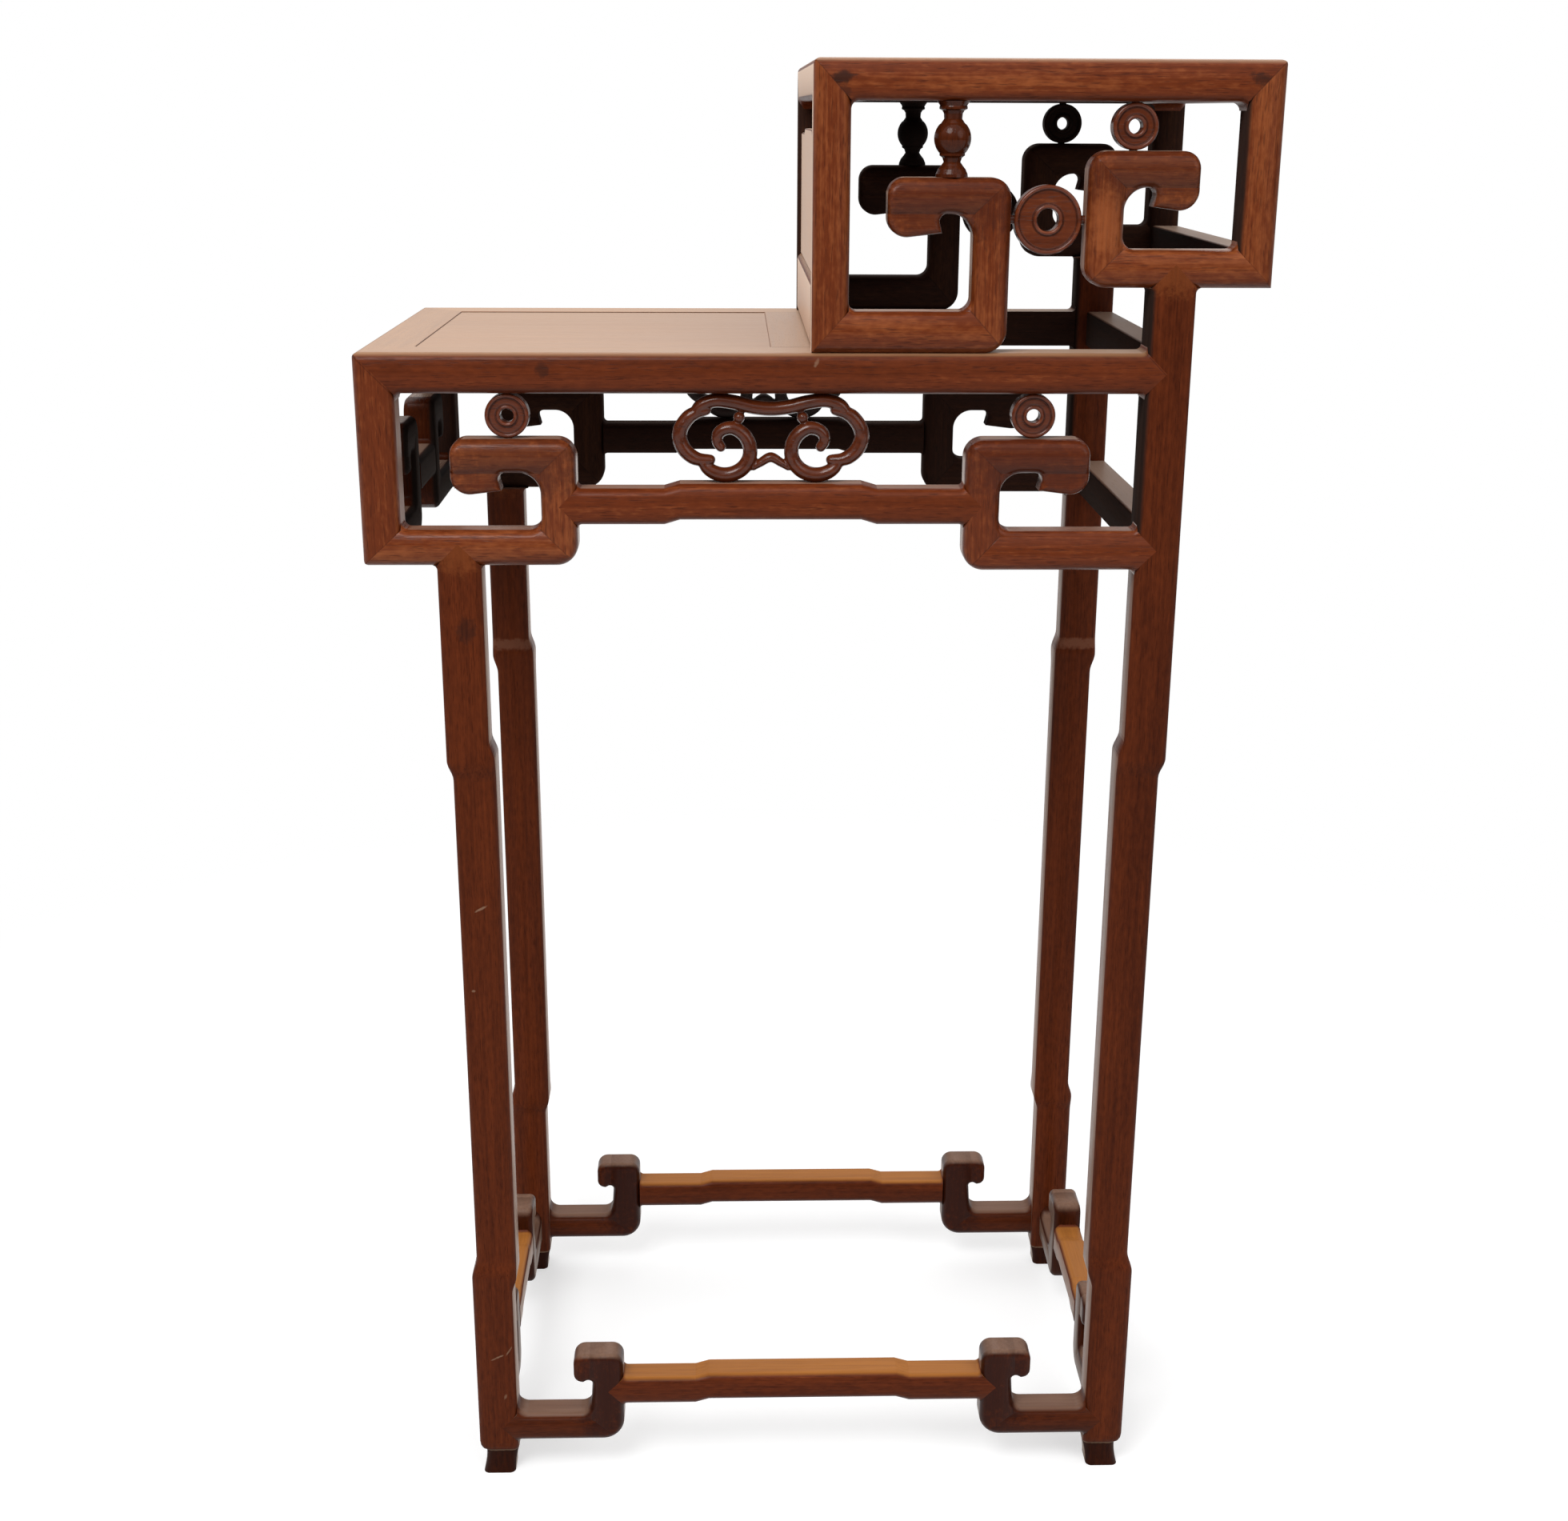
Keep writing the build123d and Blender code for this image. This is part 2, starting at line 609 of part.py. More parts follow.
save("upper_rail_right", upper_end)
save("upper_rail_left", across(upper_end, upper_middle))
save("upper_top_panel", high_panel)

# raised tier: rails and board across the ends
between_posts = depth / 2 - upper_post_width
save("upper_right_end_rail", beam(
    (right - end_rail_thickness, right), (-between_posts, between_posts),
    (upper_right_scroll_base, upper_right_scroll_base + member), Axis.Y, end_arris))
save("upper_left_end_rail", beam(
    (upper_left, upper_left + end_rail_thickness), (-between_posts, between_posts),
    (low_top_height, low_top_height + end_rail_height), Axis.Y))
board_base = low_top_height + end_rail_height
board_top = upper_rail_base - board_slot
crest = board_top + board_crest
save("upper_left_end_board", board(
    end_plane(upper_left + board_recess, -1),
    [(-between_posts, board_base, 0), (between_posts, board_base, 0),
     (between_posts, board_top, 0), (board_crest_half + hump_run, board_top, 0),
     (board_crest_half, crest, 0), (-board_crest_half, crest, 0),
     (-board_crest_half - hump_run, board_top, 0), (-between_posts, board_top, 0)],
    board_thickness, fine_arris))


# ---------------------------------------------------------------- scrolls in their places
def save_scroll(name, solids, suffixes=("front", "back")):
    """Write a scroll of three mitred solids and its mirror image."""
    whole = Compound([solid for shape in solids for solid in shape.solids()])
    save_pair(name, whole, suffixes)


left_leg_point = point(front_face, low_scroll_base, 1, -leg_out, -leg_in, upright=True)
right_leg_point = point(front_face, upper_right_scroll_base, 1, leg_in, leg_out, upright=True)
front_mitre = plan_mitre((left, front), lattice_depth, lattice_depth, True)
end_mitre = plan_mitre((left, front), lattice_depth, lattice_depth, False)

low_size = (low_scroll_width, low_scroll_height, low_scroll_head)
rail, upright, head = scroll(front_face, left, 1, low_scroll_base, low_size, member,
                             low_post_width)
save_scroll("lower_left_scroll", [
    trimmed(rail, left_leg_point, front_mitre),
    trimmed(upright, point(front_face, apron_left, -1, apron_base, apron_base + member)), head])

low_size = (low_right_scroll_width, low_scroll_height + low_right_sag, low_scroll_head)
rail, upright, head = scroll(front_face, leg_in, -1, low_right_base, low_size, low_right_rail, 0)
save_scroll("lower_right_scroll", [
    rail, trimmed(upright, point(front_face, apron_right, 1, apron_base, apron_base + member)),
    head])

size = (upper_left_scroll_width, upper_left_scroll_height, upper_left_scroll_head)
save_scroll("upper_left_scroll", scroll(front_face, upper_left, 1, low_top_height, size,
                                        low_rail_height, upper_post_width,
                                        upper_left_beak_length))

size = (upper_right_scroll_width, upper_right_scroll_height, upper_right_scroll_head)
rail, upright, head = scroll(front_face, right, -1, upper_right_scroll_base, size, member,
                             upper_post_width, upper_right_beak_length)
save_scroll("upper_right_scroll", [trimmed(rail, right_leg_point), upright, head])

size = (end_scroll_width, low_scroll_height, end_scroll_head)
rail, upright, head = scroll(end_plane(left, -1), -front, -1, low_scroll_base, size, member,
                             low_post_width, end_beak_length, end_brow_radius, end_chin_radius)
end_apron = depth / 2 - end_scroll_width
save_scroll("left_end_scroll", [
    trimmed(rail, end_mitre),
    trimmed(upright, point(end_plane(left, -1), end_apron, 1, apron_base, apron_base + member)),
    head])

save_pair("apron_rail", humped_rail(front_face, apron_left, apron_right, apron_base, member,
                                    apron_hump_half))
save("left_end_apron_rail", humped_rail(end_plane(left, -1), -end_apron, end_apron, apron_base,
                                        member, 0, hump=0))

# ---------------------------------------------------------------- legs, feet, stretchers
left_leg = across(leg(low_scroll_base), Plane.YZ)
right_leg = trimmed(
    leg(upper_right_scroll_base),
    point(front_face, leg_in, 1, low_rail_base, low_top_height),
    point(front_face, leg_in, 1, low_right_base, low_right_base + low_right_rail))
right_foot = foot()
save_pair("leg", left_leg, ("front_left", "back_left"))
save_pair("leg", right_leg, ("front_right", "back_right"))
save_pair("foot", right_foot, ("front_right", "back_right"))
save_pair("foot", across(right_foot, Plane.YZ), ("front_left", "back_left"))

middle_base = stretcher_base + stretcher_step
for plane, place, leg_face, half, suffixes, symmetry in (
        (front_face, long_hook_place, leg_in, long_hump_half, ("front", "back"), Plane.XZ),
        (end_plane(leg_out, 1), short_hook_place, leg_in_y, short_hump_half,
         ("right", "left"), Plane.YZ)):
    middle_rail = humped_rail(plane, -place, place, middle_base, stretcher_rail, half)
    rail, hook = hooked_stretcher(plane, place, leg_face)
    hook = trimmed(hook, point(plane, place, 1, middle_base, middle_base + stretcher_rail))
    halfway = Plane.YZ if symmetry == Plane.XZ else Plane.XZ
    ends = [rail, hook, across(rail, halfway), across(hook, halfway)]
    save_pair("stretcher", middle_rail, suffixes, symmetry)
    save_pair("stretcher_hooks", Compound([solid for shape in ends for solid in shape.solids()]),
              suffixes, symmetry)


# ---------------------------------------------------------------- turned and carved ornaments
def ring(x, z, radius, hole, neck_gap, upright=True):
    """A thick ring with a lip, a sunk face and a bead, and two necks that reach its neighbours."""
    centre = (x, front + lattice_depth / 2, z)
    face = ring_thickness / 2
    floor = face - ring_recess
    with BuildPart() as piece:
        with BuildSketch(Plane(origin=centre, x_dir=(1, 0, 0), z_dir=(0, 0, 1))):
            with BuildLine():
                Line((hole, 0), (hole, floor))
                ThreePointArc((hole, floor), (hole + ring_bead / 2, face), (hole + ring_bead, floor))
                Line((hole + ring_bead, floor), (radius - ring_lip, floor))
                ThreePointArc((radius - ring_lip, floor), (radius - ring_lip / 2, face),
                              (radius, floor))
                Polyline((radius, floor), (radius, 0), (hole, 0))
            make_face()
            mirror(about=Plane.XZ)
        revolve(axis=Axis(centre, (0, 1, 0)))
        reach = radius - ring_lip / 2
        for side in (-1, 1):
            span = neck_gap - reach
            place = side * (reach + span / 2)
            with Locations(Pos(*centre) * Pos(0 if upright else place, 0, place if upright else 0)):
                Cylinder(ring_neck_radius, span, rotation=(0, 0, 0) if upright else (0, 90, 0))
    return piece.part


low_ring_gap = (low_rail_base - low_scroll_top) / 2
low_rings = [ring(apron_middle + side * low_ring_spread, low_scroll_top + low_ring_gap,
                  small_ring_radius, small_ring_hole, low_ring_gap) for side in (-1, 1)]
save_pair("lower_rings", Compound([solid for shape in low_rings for solid in shape.solids()]))

upper_ring_gap = (upper_rail_base - upper_right_scroll_top) / 2
save_pair("upper_ring", ring(right - upper_ring_place, upper_right_scroll_top + upper_ring_gap,
                             small_ring_radius, small_ring_hole, upper_ring_gap))
bay_left = upper_left + upper_left_scroll_width
bay_right = right - upper_right_scroll_width
for name, drop in (("large_ring_front", 0), ("large_ring_back", back_ring_drop)):
    large_ring = ring((bay_left + bay_right) / 2, low_top_height + large_ring_rise - drop,
                      large_ring_radius, large_ring_hole, (bay_right - bay_left) / 2, upright=False)
    save(name, across(large_ring) if drop else large_ring)

baluster_height = upper_rail_base - upper_left_scroll_top


def turned(shape):
    """Profile points from shares of the baluster's height and radius."""
    return [(r * baluster_radius, -h * baluster_height) for h, r in shape]


belly_start, belly_middle, belly_end = baluster_belly
start_radius, end_radius = baluster_belly_ends
with BuildPart() as baluster:
    with BuildSketch(Plane.XZ):
        with BuildLine():
            Polyline((0, 0), *turned(baluster_neck_shape + [(belly_start, start_radius)]))
            ThreePointArc(*turned([(belly_start, start_radius), (belly_middle, 1),
                                   (belly_end, end_radius)]))
            Polyline(*turned([(belly_end, end_radius)] + baluster_foot_shape),
                     (0, -baluster_height), (0, 0))
        make_face()
    revolve(axis=Axis.Z)
save_pair("baluster", Pos(upper_left + baluster_place, front + lattice_depth / 2,
                          upper_rail_base) * baluster.part)

# cloud-shaped openwork between the apron rail and the long rail: the middle line of one half
# as arcs, in shares of the half width and of the opening's height
cloud_arcs = [
    [(0, 0.89), (0.18, 0.905), (0.37, 0.955)], [(0.37, 0.955), (0.59, 1.01), (0.80, 0.84)],
    [(0.80, 0.84), (0.99, 0.505), (0.72, 0.17)], [(0.72, 0.17), (0.62, 0.03), (0.47, -0.01)],
    [(0.47, -0.01), (0.27, 0.14), (0.235, 0.385)], [(0.235, 0.385), (0.32, 0.59), (0.47, 0.635)],
    [(0.47, 0.635), (0.575, 0.575), (0.585, 0.445)]]
neck_x, neck_ends = 0.35, (0.62, 0.93)
bracket = [(-0.22, 0.12), (0, 0.24), (0.22, 0.12)]
side_x = ruyi_half_width - ruyi_band / 2
opening = low_rail_base - apron_top


def cloud_points(shares, side=1):
    """Points of the openwork's middle line, mirrored for side -1."""
    base = apron_top + ruyi_band / 2
    return [(side * x * side_x, base + z * (opening - ruyi_band)) for x, z in shares]


ruyi_plane = Plane(origin=(apron_middle, front + (lattice_depth - ruyi_depth) / 2, 0),
                   x_dir=(1, 0, 0), z_dir=(0, -1, 0))
with BuildPart() as ruyi:
    with BuildSketch(ruyi_plane):
        for side in (-1, 1):
            for shares in cloud_arcs:
                points = cloud_points(shares, side)
                with BuildLine() as path:
                    ThreePointArc(*points)
                trace(path.line, ruyi_band)
                with Locations(points[0], points[-1]):
                    Circle(ruyi_band / 2)
            with BuildLine() as path:
                Line(*cloud_points([(neck_x, z) for z in neck_ends], side))
            trace(path.line, ruyi_neck)
        with BuildLine() as path:
            ThreePointArc(*cloud_points(bracket))
        trace(path.line, ruyi_neck)
    extrude(amount=-ruyi_depth)
    with Locations((apron_middle, front + lattice_depth / 2, (apron_top + low_rail_base) / 2)):
        Box(2 * ruyi_half_width, lattice_depth, opening, mode=Mode.INTERSECT)
save_pair("ruyi_ornament", ruyi.part)
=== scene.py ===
"""Two-tier hardwood stand: wood finishes, carved cloud openwork and a plain studio."""
from collections import namedtuple
from functools import partial
from math import cos, hypot, pi, sin

import bmesh
import bpy
import numpy as np
from bpy.props import FloatProperty, FloatVectorProperty, PointerProperty
from mathutils import Matrix, Vector


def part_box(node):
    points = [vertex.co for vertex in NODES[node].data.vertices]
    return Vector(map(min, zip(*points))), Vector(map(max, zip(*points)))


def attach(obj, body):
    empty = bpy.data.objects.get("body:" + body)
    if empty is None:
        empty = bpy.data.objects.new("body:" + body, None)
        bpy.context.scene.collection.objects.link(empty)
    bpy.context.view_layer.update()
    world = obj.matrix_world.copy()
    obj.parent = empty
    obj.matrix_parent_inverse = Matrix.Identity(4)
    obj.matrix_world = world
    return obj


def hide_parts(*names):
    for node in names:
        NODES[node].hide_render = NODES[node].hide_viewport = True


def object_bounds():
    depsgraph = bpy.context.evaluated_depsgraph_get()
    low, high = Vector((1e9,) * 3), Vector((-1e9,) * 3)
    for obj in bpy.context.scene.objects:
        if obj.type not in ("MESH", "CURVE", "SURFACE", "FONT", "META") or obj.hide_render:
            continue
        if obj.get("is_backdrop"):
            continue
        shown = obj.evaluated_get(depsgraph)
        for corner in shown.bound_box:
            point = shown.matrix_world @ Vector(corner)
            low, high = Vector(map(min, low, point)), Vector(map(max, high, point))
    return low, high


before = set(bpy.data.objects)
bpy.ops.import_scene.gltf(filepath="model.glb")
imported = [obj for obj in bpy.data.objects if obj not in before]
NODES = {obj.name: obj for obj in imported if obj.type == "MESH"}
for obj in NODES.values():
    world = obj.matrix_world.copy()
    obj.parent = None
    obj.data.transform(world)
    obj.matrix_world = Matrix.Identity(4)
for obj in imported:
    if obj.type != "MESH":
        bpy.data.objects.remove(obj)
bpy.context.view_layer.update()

bl_info = {
    "name": "Two-tier stand",
    "version": (1, 0, 0),
    "blender": (4, 5, 0),
    "location": "View3D > Sidebar > Stand",
    "description": "Finishes a two-tier openwork display stand in satin hardwood",
    "category": "Object",
}

MM = 0.001
# joinery sizes that the finishes follow
LOW_POST = 25 * MM             # width of the low tier's corner posts
LOW_RAIL = 25.5 * MM           # height of the long rails
UPPER_POST = 23 * MM           # width of the raised tier's posts
UPPER_RAIL = 24.5 * MM         # height of its top rails
SCROLL_MEMBER = 23 * MM        # face width of a scroll's upright
SCROLL_BAR = 21.5 * MM         # height of a scroll's top arm
SCROLL_RAIL = 23 * MM          # height of a scroll's bottom rail
TALL_SCROLL_RAIL = 25.5 * MM   # the same on the raised tier's left scrolls
LOW_RIGHT_RAIL = 25.5 * MM     # and on the low right scrolls
ARM_MIDDLE = 40 * MM           # middle of the dark top arm from its upright's outer face
HOOK_WIDTH = 24.5 * MM         # face width of the stretchers' hooked uprights
HOOK_RAIL = 22.5 * MM          # height of the short rails beside them
LONG_HOOK_PLACE = 132 * MM     # hooks' inner faces from the middle, long sides
SHORT_HOOK_PLACE = 52 * MM     # and short sides
END_SCROLL_PLACE = 36 * MM     # left end scrolls' uprights from the middle
LEG_INNER_STEP = 567 * MM      # upper step of the legs' inner faces
SHOULDER_FACE = 144 * MM       # pointed shoulders lie beyond this depth
JOINT_LINE = 0.35 * MM         # about half the width of a glued joint's dark line
MITRE_REACH = 1.04             # a mitre's line runs over this share of the member's width
RING_LINE = 1.1 * MM           # how far a ring's painted crease shade fades out to each side
RINGS = {"lower_rings": (13.9 * MM, 6.9 * MM, 11.1 * MM),     # radius, bead and lip edges
         "upper_ring": (13.9 * MM, 6.9 * MM, 11.1 * MM),
         "large_ring": (20.8 * MM, 9.4 * MM, 18.0 * MM)}

JOINT_DARK = 0.34              # how far a glued joint darkens the wood, and a ring's painted shade too
PAINTED_SHADE_SHARE = 0.84             # how far the inner faces turn to the painted shade

# colours of single faces and marks
PAINTED_TOP_LIGHT = (0.37, 0.200, 0.105)       # painted light from above, and glare: paler colour on faces that look up
PAINTED_GOLDEN_TOP_LIGHT = (0.41, 0.155, 0.033)      # painted light from above: paler colour on the base stretchers' upper faces
PAINTED_GREY_TOP_LIGHT = (0.22, 0.125, 0.085)       # painted light from above: greyer, paler colour on ledges that look up
DARK_RED = (0.060, 0.0125, 0.0060)     # arms of the scrolls
DARK_HOOK = (0.026, 0.0060, 0.0036)    # hooked uprights of the long stretchers
LEG_TIP = (0.230, 0.060, 0.017)        # legs' pointed ends
PAINTED_STEP_HIGHLIGHT = (0.210, 0.080, 0.045)         # painted highlight on the upward slope of a leg's step
AMBER = (0.33, 0.092, 0.028)           # a light patch
PAINTED_SHADE = (0.010, 0.011, 0.010)           # painted shade on inner faces, nearly black
BURNT = (0.012, 0.008, 0.007)          # black stains
BARE = (0.40, 0.25, 0.16)              # bare wood in nicks, and glue

# painted shade on faces that look into the stand or its ends: the way they look, how near to it
# counts, lowest height
INSIDE_BACK = ((0, -1, 0), -0.9, 0)
INSIDE_RIGHT = ((-1, 0, 0), 0.2, 0)
INSIDE_LEFT = ((1, 0, 0), 0.0, 0)
INSIDE_LEG = ((-1, 0, 0), 0.2, 0.69)

# finishes that several pieces share: painted light on faces that look up, with a painted sheen on
# TABLE and painted shade on the rail's inner faces
TABLE = {"top": PAINTED_TOP_LIGHT, "bloom": 0.33}
PAINTED_LIGHT_AND_SHADE_RAIL = {"top": PAINTED_GREY_TOP_LIGHT, "polish": 0.04, "inner": INSIDE_RIGHT}

# marks in the wood: x, z, half length, half width, lean, colour, strength
LEFT_LEG_MARKS = ((-0.2215, 0.4525, 0.0050, 0.0009, 0.5, BARE, 0.5),
                  (-0.2290, 0.3920, 0.0015, 0.0010, 0.0, BARE, 0.4),
                  (-0.2235, 0.1010, 0.0060, 0.0008, 0.45, BARE, 0.5),
                  (-0.2150, 0.1060, 0.0045, 0.0007, 1.0, BARE, 0.45),
                  (-0.2185, 0.0680, 0.0028, 0.0011, 1.2, BARE, 0.35),
                  (-0.2220, 0.6480, 0.0070, 0.0100, 0.0, BURNT, 0.45))
LONG_RAIL_MARKS = ((0.0030, 0.8195, 0.0032, 0.0014, 1.1, BARE, 0.32),
                   (-0.1680, 0.8150, 0.0045, 0.0050, 0.3, BURNT, 0.5))

# bands of the cloud openwork: places as shares of half its width and of its height, then the
# widths along the band as shares of the band's full width
CROWN_BAND = (((-0.83, 0.80), (-0.76, 0.92), (-0.60, 0.99), (-0.40, 0.965), (-0.2, 0.905),
               (0, 0.88), (0.2, 0.905), (0.40, 0.965), (0.60, 0.99), (0.76, 0.92), (0.83, 0.80)),
              (0.78, 0.95, 1, 1, 1, 1, 1, 0.95, 0.78))
LOBE_BAND = (((0.70, 0.86), (0.86, 0.80), (0.97, 0.64), (0.99, 0.48), (0.93, 0.32),
              (0.81, 0.215), (0.66, 0.20)),
             (0.7, 1, 1.05, 1.05, 1, 0.72))
SPIRAL_BAND = (((0.755, 0.20), (0.69, 0.085), (0.565, 0.01), (0.43, 0.01), (0.31, 0.085),
                (0.235, 0.22), (0.23, 0.385), (0.29, 0.53), (0.40, 0.62), (0.505, 0.61),
                (0.575, 0.54), (0.58, 0.44), (0.545, 0.375)),
               (0.72, 1, 1.05, 1.05, 1, 0.95, 0.9, 0.8, 0.72))
BRACKET_BAND = (((-0.19, 0.10), (-0.11, 0.165), (0, 0.235), (0.11, 0.165), (0.19, 0.10)),
                (0.45, 0.6, 0.7, 0.6, 0.45))
BEAD_PLACE = (0.345, 0.765)
BEAD_RADIUS = 3.8 * MM
FINE_DEPTH = 0.8               # depth of the bracket and beads against the bands

# lamps: name, place, size of the disc, share of the key light's power
LAMPS = (("key", (-0.8, -1.6, 2.5), 1.3, 1.0),
         ("fill", (1.9, -1.9, 1.9), 1.8, 0.35),
         ("rear", (0.2, 2.4, 2.6), 2.0, 0.30))
LAMP_AIM = (0, 0, 0.55)
FLOOR_HALF = 6.0
FLOOR_FADE = (0.3, 1.8)        # squared distances over which the floor turns plain white
FLOOR_UNSEEN = (0.36, 0.36, 0.36)      # grey that lights the stand from below
FLOOR_SHADOWED = (0.60, 0.60, 0.60)    # grey that takes the stand's shadow
FLOOR_GLOW = 0.49              # light added to it, so that it's white where no shadow falls
WHITE = (1, 1, 1)

Noises = namedtuple("Noises", "streak fine pore cloud fleck")


# ---------------------------------------------------------------- sizes and colours
class StandLook(bpy.types.PropertyGroup):
    """Colours and finish of the wood, and the light."""

    deep: FloatVectorProperty(name="Deep brown", description="Darkest streaks of the wood",
                              default=(0.034, 0.0056, 0.0017), subtype="COLOR", min=0, max=1)
    mid: FloatVectorProperty(name="Reddish brown", description="Main tone of the wood",
                             default=(0.150, 0.0300, 0.0080), subtype="COLOR", min=0, max=1)
    light: FloatVectorProperty(name="Light brown", description="Lighter streaks of the wood",
                               default=(0.310, 0.086, 0.0260), subtype="COLOR", min=0, max=1)
    worn: FloatVectorProperty(name="Worn brown", description="Tint of the palest streaks",
                              default=(0.50, 0.28, 0.15), subtype="COLOR", min=0, max=1)
    # painted sheen: this pale colour is mixed into the base colour on flat faces seen aslant
    sheen: FloatVectorProperty(name="Wax sheen", description="Pale bloom of old wax seen aslant",
                               default=(0.95, 0.69, 0.52), subtype="COLOR", min=0, max=1)
    roughness: FloatProperty(name="Roughness", description="Satin of the polished faces",
                             default=0.34, min=0.05, max=1)
    pore_depth: FloatProperty(name="Pore depth", description="Relief of pores and streaks",
                              default=0.00012, unit="LENGTH")
    crown: FloatProperty(name="Crown", description="Swell of a member's faces towards the middle",
                         default=0.0036, unit="LENGTH")
    band: FloatProperty(name="Carved band", description="Width of the cloud openwork's bands",
                        default=0.0092, unit="LENGTH")
    band_depth: FloatProperty(name="Carved depth", description="Depth of those bands",
                              default=0.0118, unit="LENGTH")
    key_power: FloatProperty(name="Key light", description="Power of the large front light",
                             default=38, unit="POWER")
    room_level: FloatProperty(name="Room light", description="Light from the room's walls",
                              default=0.22, min=0, max=2)
    ceiling_level: FloatProperty(name="Ceiling light",
                                 description="How much brighter the room is overhead",
                                 default=0.75, min=0, max=2)


def look():
    """The settings in use."""
    return bpy.context.scene.stand_look


# ---------------------------------------------------------------- shader building
class Value:
    """A shader socket whose arithmetic adds Math nodes."""

    def __init__(self, tree, socket):
        self.tree = tree
        self.socket = socket

    def _math(self, operation, *values):
        return self.tree.node("ShaderNodeMath", {"operation": operation}, dict(enumerate(values)))

    def __add__(self, other):
        return self._math("ADD", self, other)

    def __radd__(self, other):
        return self._math("ADD", other, self)

    def __sub__(self, other):
        return self._math("SUBTRACT", self, other)

    def __rsub__(self, other):
        return self._math("SUBTRACT", other, self)

    def __mul__(self, other):
        return self._math("MULTIPLY", self, other)

    def __rmul__(self, other):
        return self._math("MULTIPLY", other, self)

    def __pow__(self, other):
        return self._math("POWER", self, other)

    def __rpow__(self, other):
        return self._math("POWER", other, self)

    def __abs__(self):
        return self._math("ABSOLUTE", self)

    def __gt__(self, other):
        return self._math("GREATER_THAN", self, other)

    def __lt__(self, other):
        return self._math("LESS_THAN", self, other)

    def low(self, other):
        """The smaller of two values."""
        return self._math("MINIMUM", self, other)

    def high(self, other):
        """The larger of two values."""
        return self._math("MAXIMUM", self, other)

    def between(self, start, end):
        """0 at start rising smoothly to 1 at end."""
        return self.tree.node(
            "ShaderNodeMapRange", {"interpolation_type": "SMOOTHSTEP"},
            {"Value": self, "From Min": start, "From Max": end, "To Min": 0, "To Max": 1})

    def below(self, width):
        """1 near zero, falling smoothly to 0 at width."""
        return 1 - self.between(0.4 * width, width)


class Tree:
    """A material's or world's node tree, filled by one method."""

    def __init__(self, owner):
        owner.use_nodes = True
        self.tree = owner.node_tree
        self.tree.nodes.clear()

    def node(self, kind, settings=None, inputs=None, out=0):
        """Adds a node, sets it, fills its sockets and returns one output or a list of them."""
        made = self.tree.nodes.new(kind)
        settings = dict(settings or {})
        stops = settings.pop("stops", ())
        for name, value in settings.items():
            setattr(made, name, value)
        if stops:
            ramp = made.color_ramp
            while len(ramp.elements) < len(stops):
                ramp.elements.new(1)
            for element, (place, colour) in zip(ramp.elements, stops):
                element.position = place
                element.color = (*colour, 1)
        for name, value in (inputs or {}).items():
            self.fill(made.inputs[name], value)
        if isinstance(out, tuple):
            return [Value(self, made.outputs[name]) for name in out]
        return Value(self, made.outputs[out]) if made.outputs else None

    def fill(self, socket, value):
        """Links a value to a socket, or sets the socket to it."""
        if isinstance(value, Value):
            self.tree.links.new(value.socket, socket)
        elif hasattr(value, "__len__") and len(value) == 3 and socket.type == "RGBA":
            socket.default_value = (*value, 1)
        else:
            socket.default_value = value

    def mix(self, factor, first, second):
        """One colour turning into another."""
        return self.node("ShaderNodeMix", {"data_type": "RGBA"}, {0: factor, 6: first, 7: second},
                         out=2)

    def noise(self, vector, scale, detail=2, roughness=0.5, distortion=0):
        """A noise value at a vector."""
        return self.node("ShaderNodeTexNoise", inputs={
            "Vector": vector, "Scale": scale, "Detail": detail, "Roughness": roughness,
            "Distortion": distortion})

    def xyz(self, x, y, z):
        """A vector of three values."""
        return self.node("ShaderNodeCombineXYZ", inputs={"X": x, "Y": y, "Z": z})

    def split(self, vector):
        """The three values of a vector."""
        return self.node("ShaderNodeSeparateXYZ", inputs={"Vector": vector}, out=(0, 1, 2))

    def place(self):
        """The object coordinates as three values."""
        return self.split(self.node("ShaderNodeTexCoord", out="Object"))


# ---------------------------------------------------------------- joint regions
# A region tells, at a place in a member: whether the fibres stand upright, how near a glued
# joint is, and how far the place lies from the middle line of its face, squared.
def scroll_region(node, side, rail):
    """A scroll; `side` is +1 where its upright stands at the node's high X end."""
    low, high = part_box(node)

    def region(x, y, z):
        into = (high.x - x) if side > 0 else (x - low.x)
        return mitred(into, z - low.z, high.z - z, rail)
    return region


def end_scroll_region(node):
    """A scroll across the left end."""
    low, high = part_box(node)

    def region(x, y, z):
        return mitred(abs(y) - END_SCROLL_PLACE, z - low.z, high.z - z, SCROLL_RAIL)
    return region


def mitred(into, over, under, rail):
    """Scroll region from the depth into its upright and the heights over and under its ends."""
    foot = over * (SCROLL_MEMBER / rail) - into
    crown = under * (SCROLL_MEMBER / SCROLL_BAR) - into
    upright = (foot > 0) * (crown > 0)
    joint = abs(foot).low(abs(crown)).below(2 * JOINT_LINE)
    joint = joint * (into < SCROLL_MEMBER * MITRE_REACH)
    flat = squared(over, rail) + (squared(under, SCROLL_BAR) - squared(over, rail)) * (over > under)
    return upright, joint, flat + (squared(into, SCROLL_MEMBER) - flat) * upright


def squared(depth, width):
    """Square of the distance from a face's middle line, 1 at its edges and beyond."""
    share = (depth - width / 2) * (2 / width)
    return (share * share).low(1)


def hook_region(node, along_y, place):
    """Hooked uprights of a base stretcher, mirrored about the middle."""
    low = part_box(node)[0]

    def region(x, y, z):
        into = abs(y if along_y else x) - place
        over = z - low.z
        gap = over * (HOOK_WIDTH / HOOK_RAIL) - into
        upright = gap > 0
        joint = abs(gap).below(2 * JOINT_LINE) * (into < HOOK_WIDTH * MITRE_REACH)
        flat = squared(over, HOOK_RAIL)
        return upright, joint, flat + (squared(into, HOOK_WIDTH) - flat) * upright
    return region


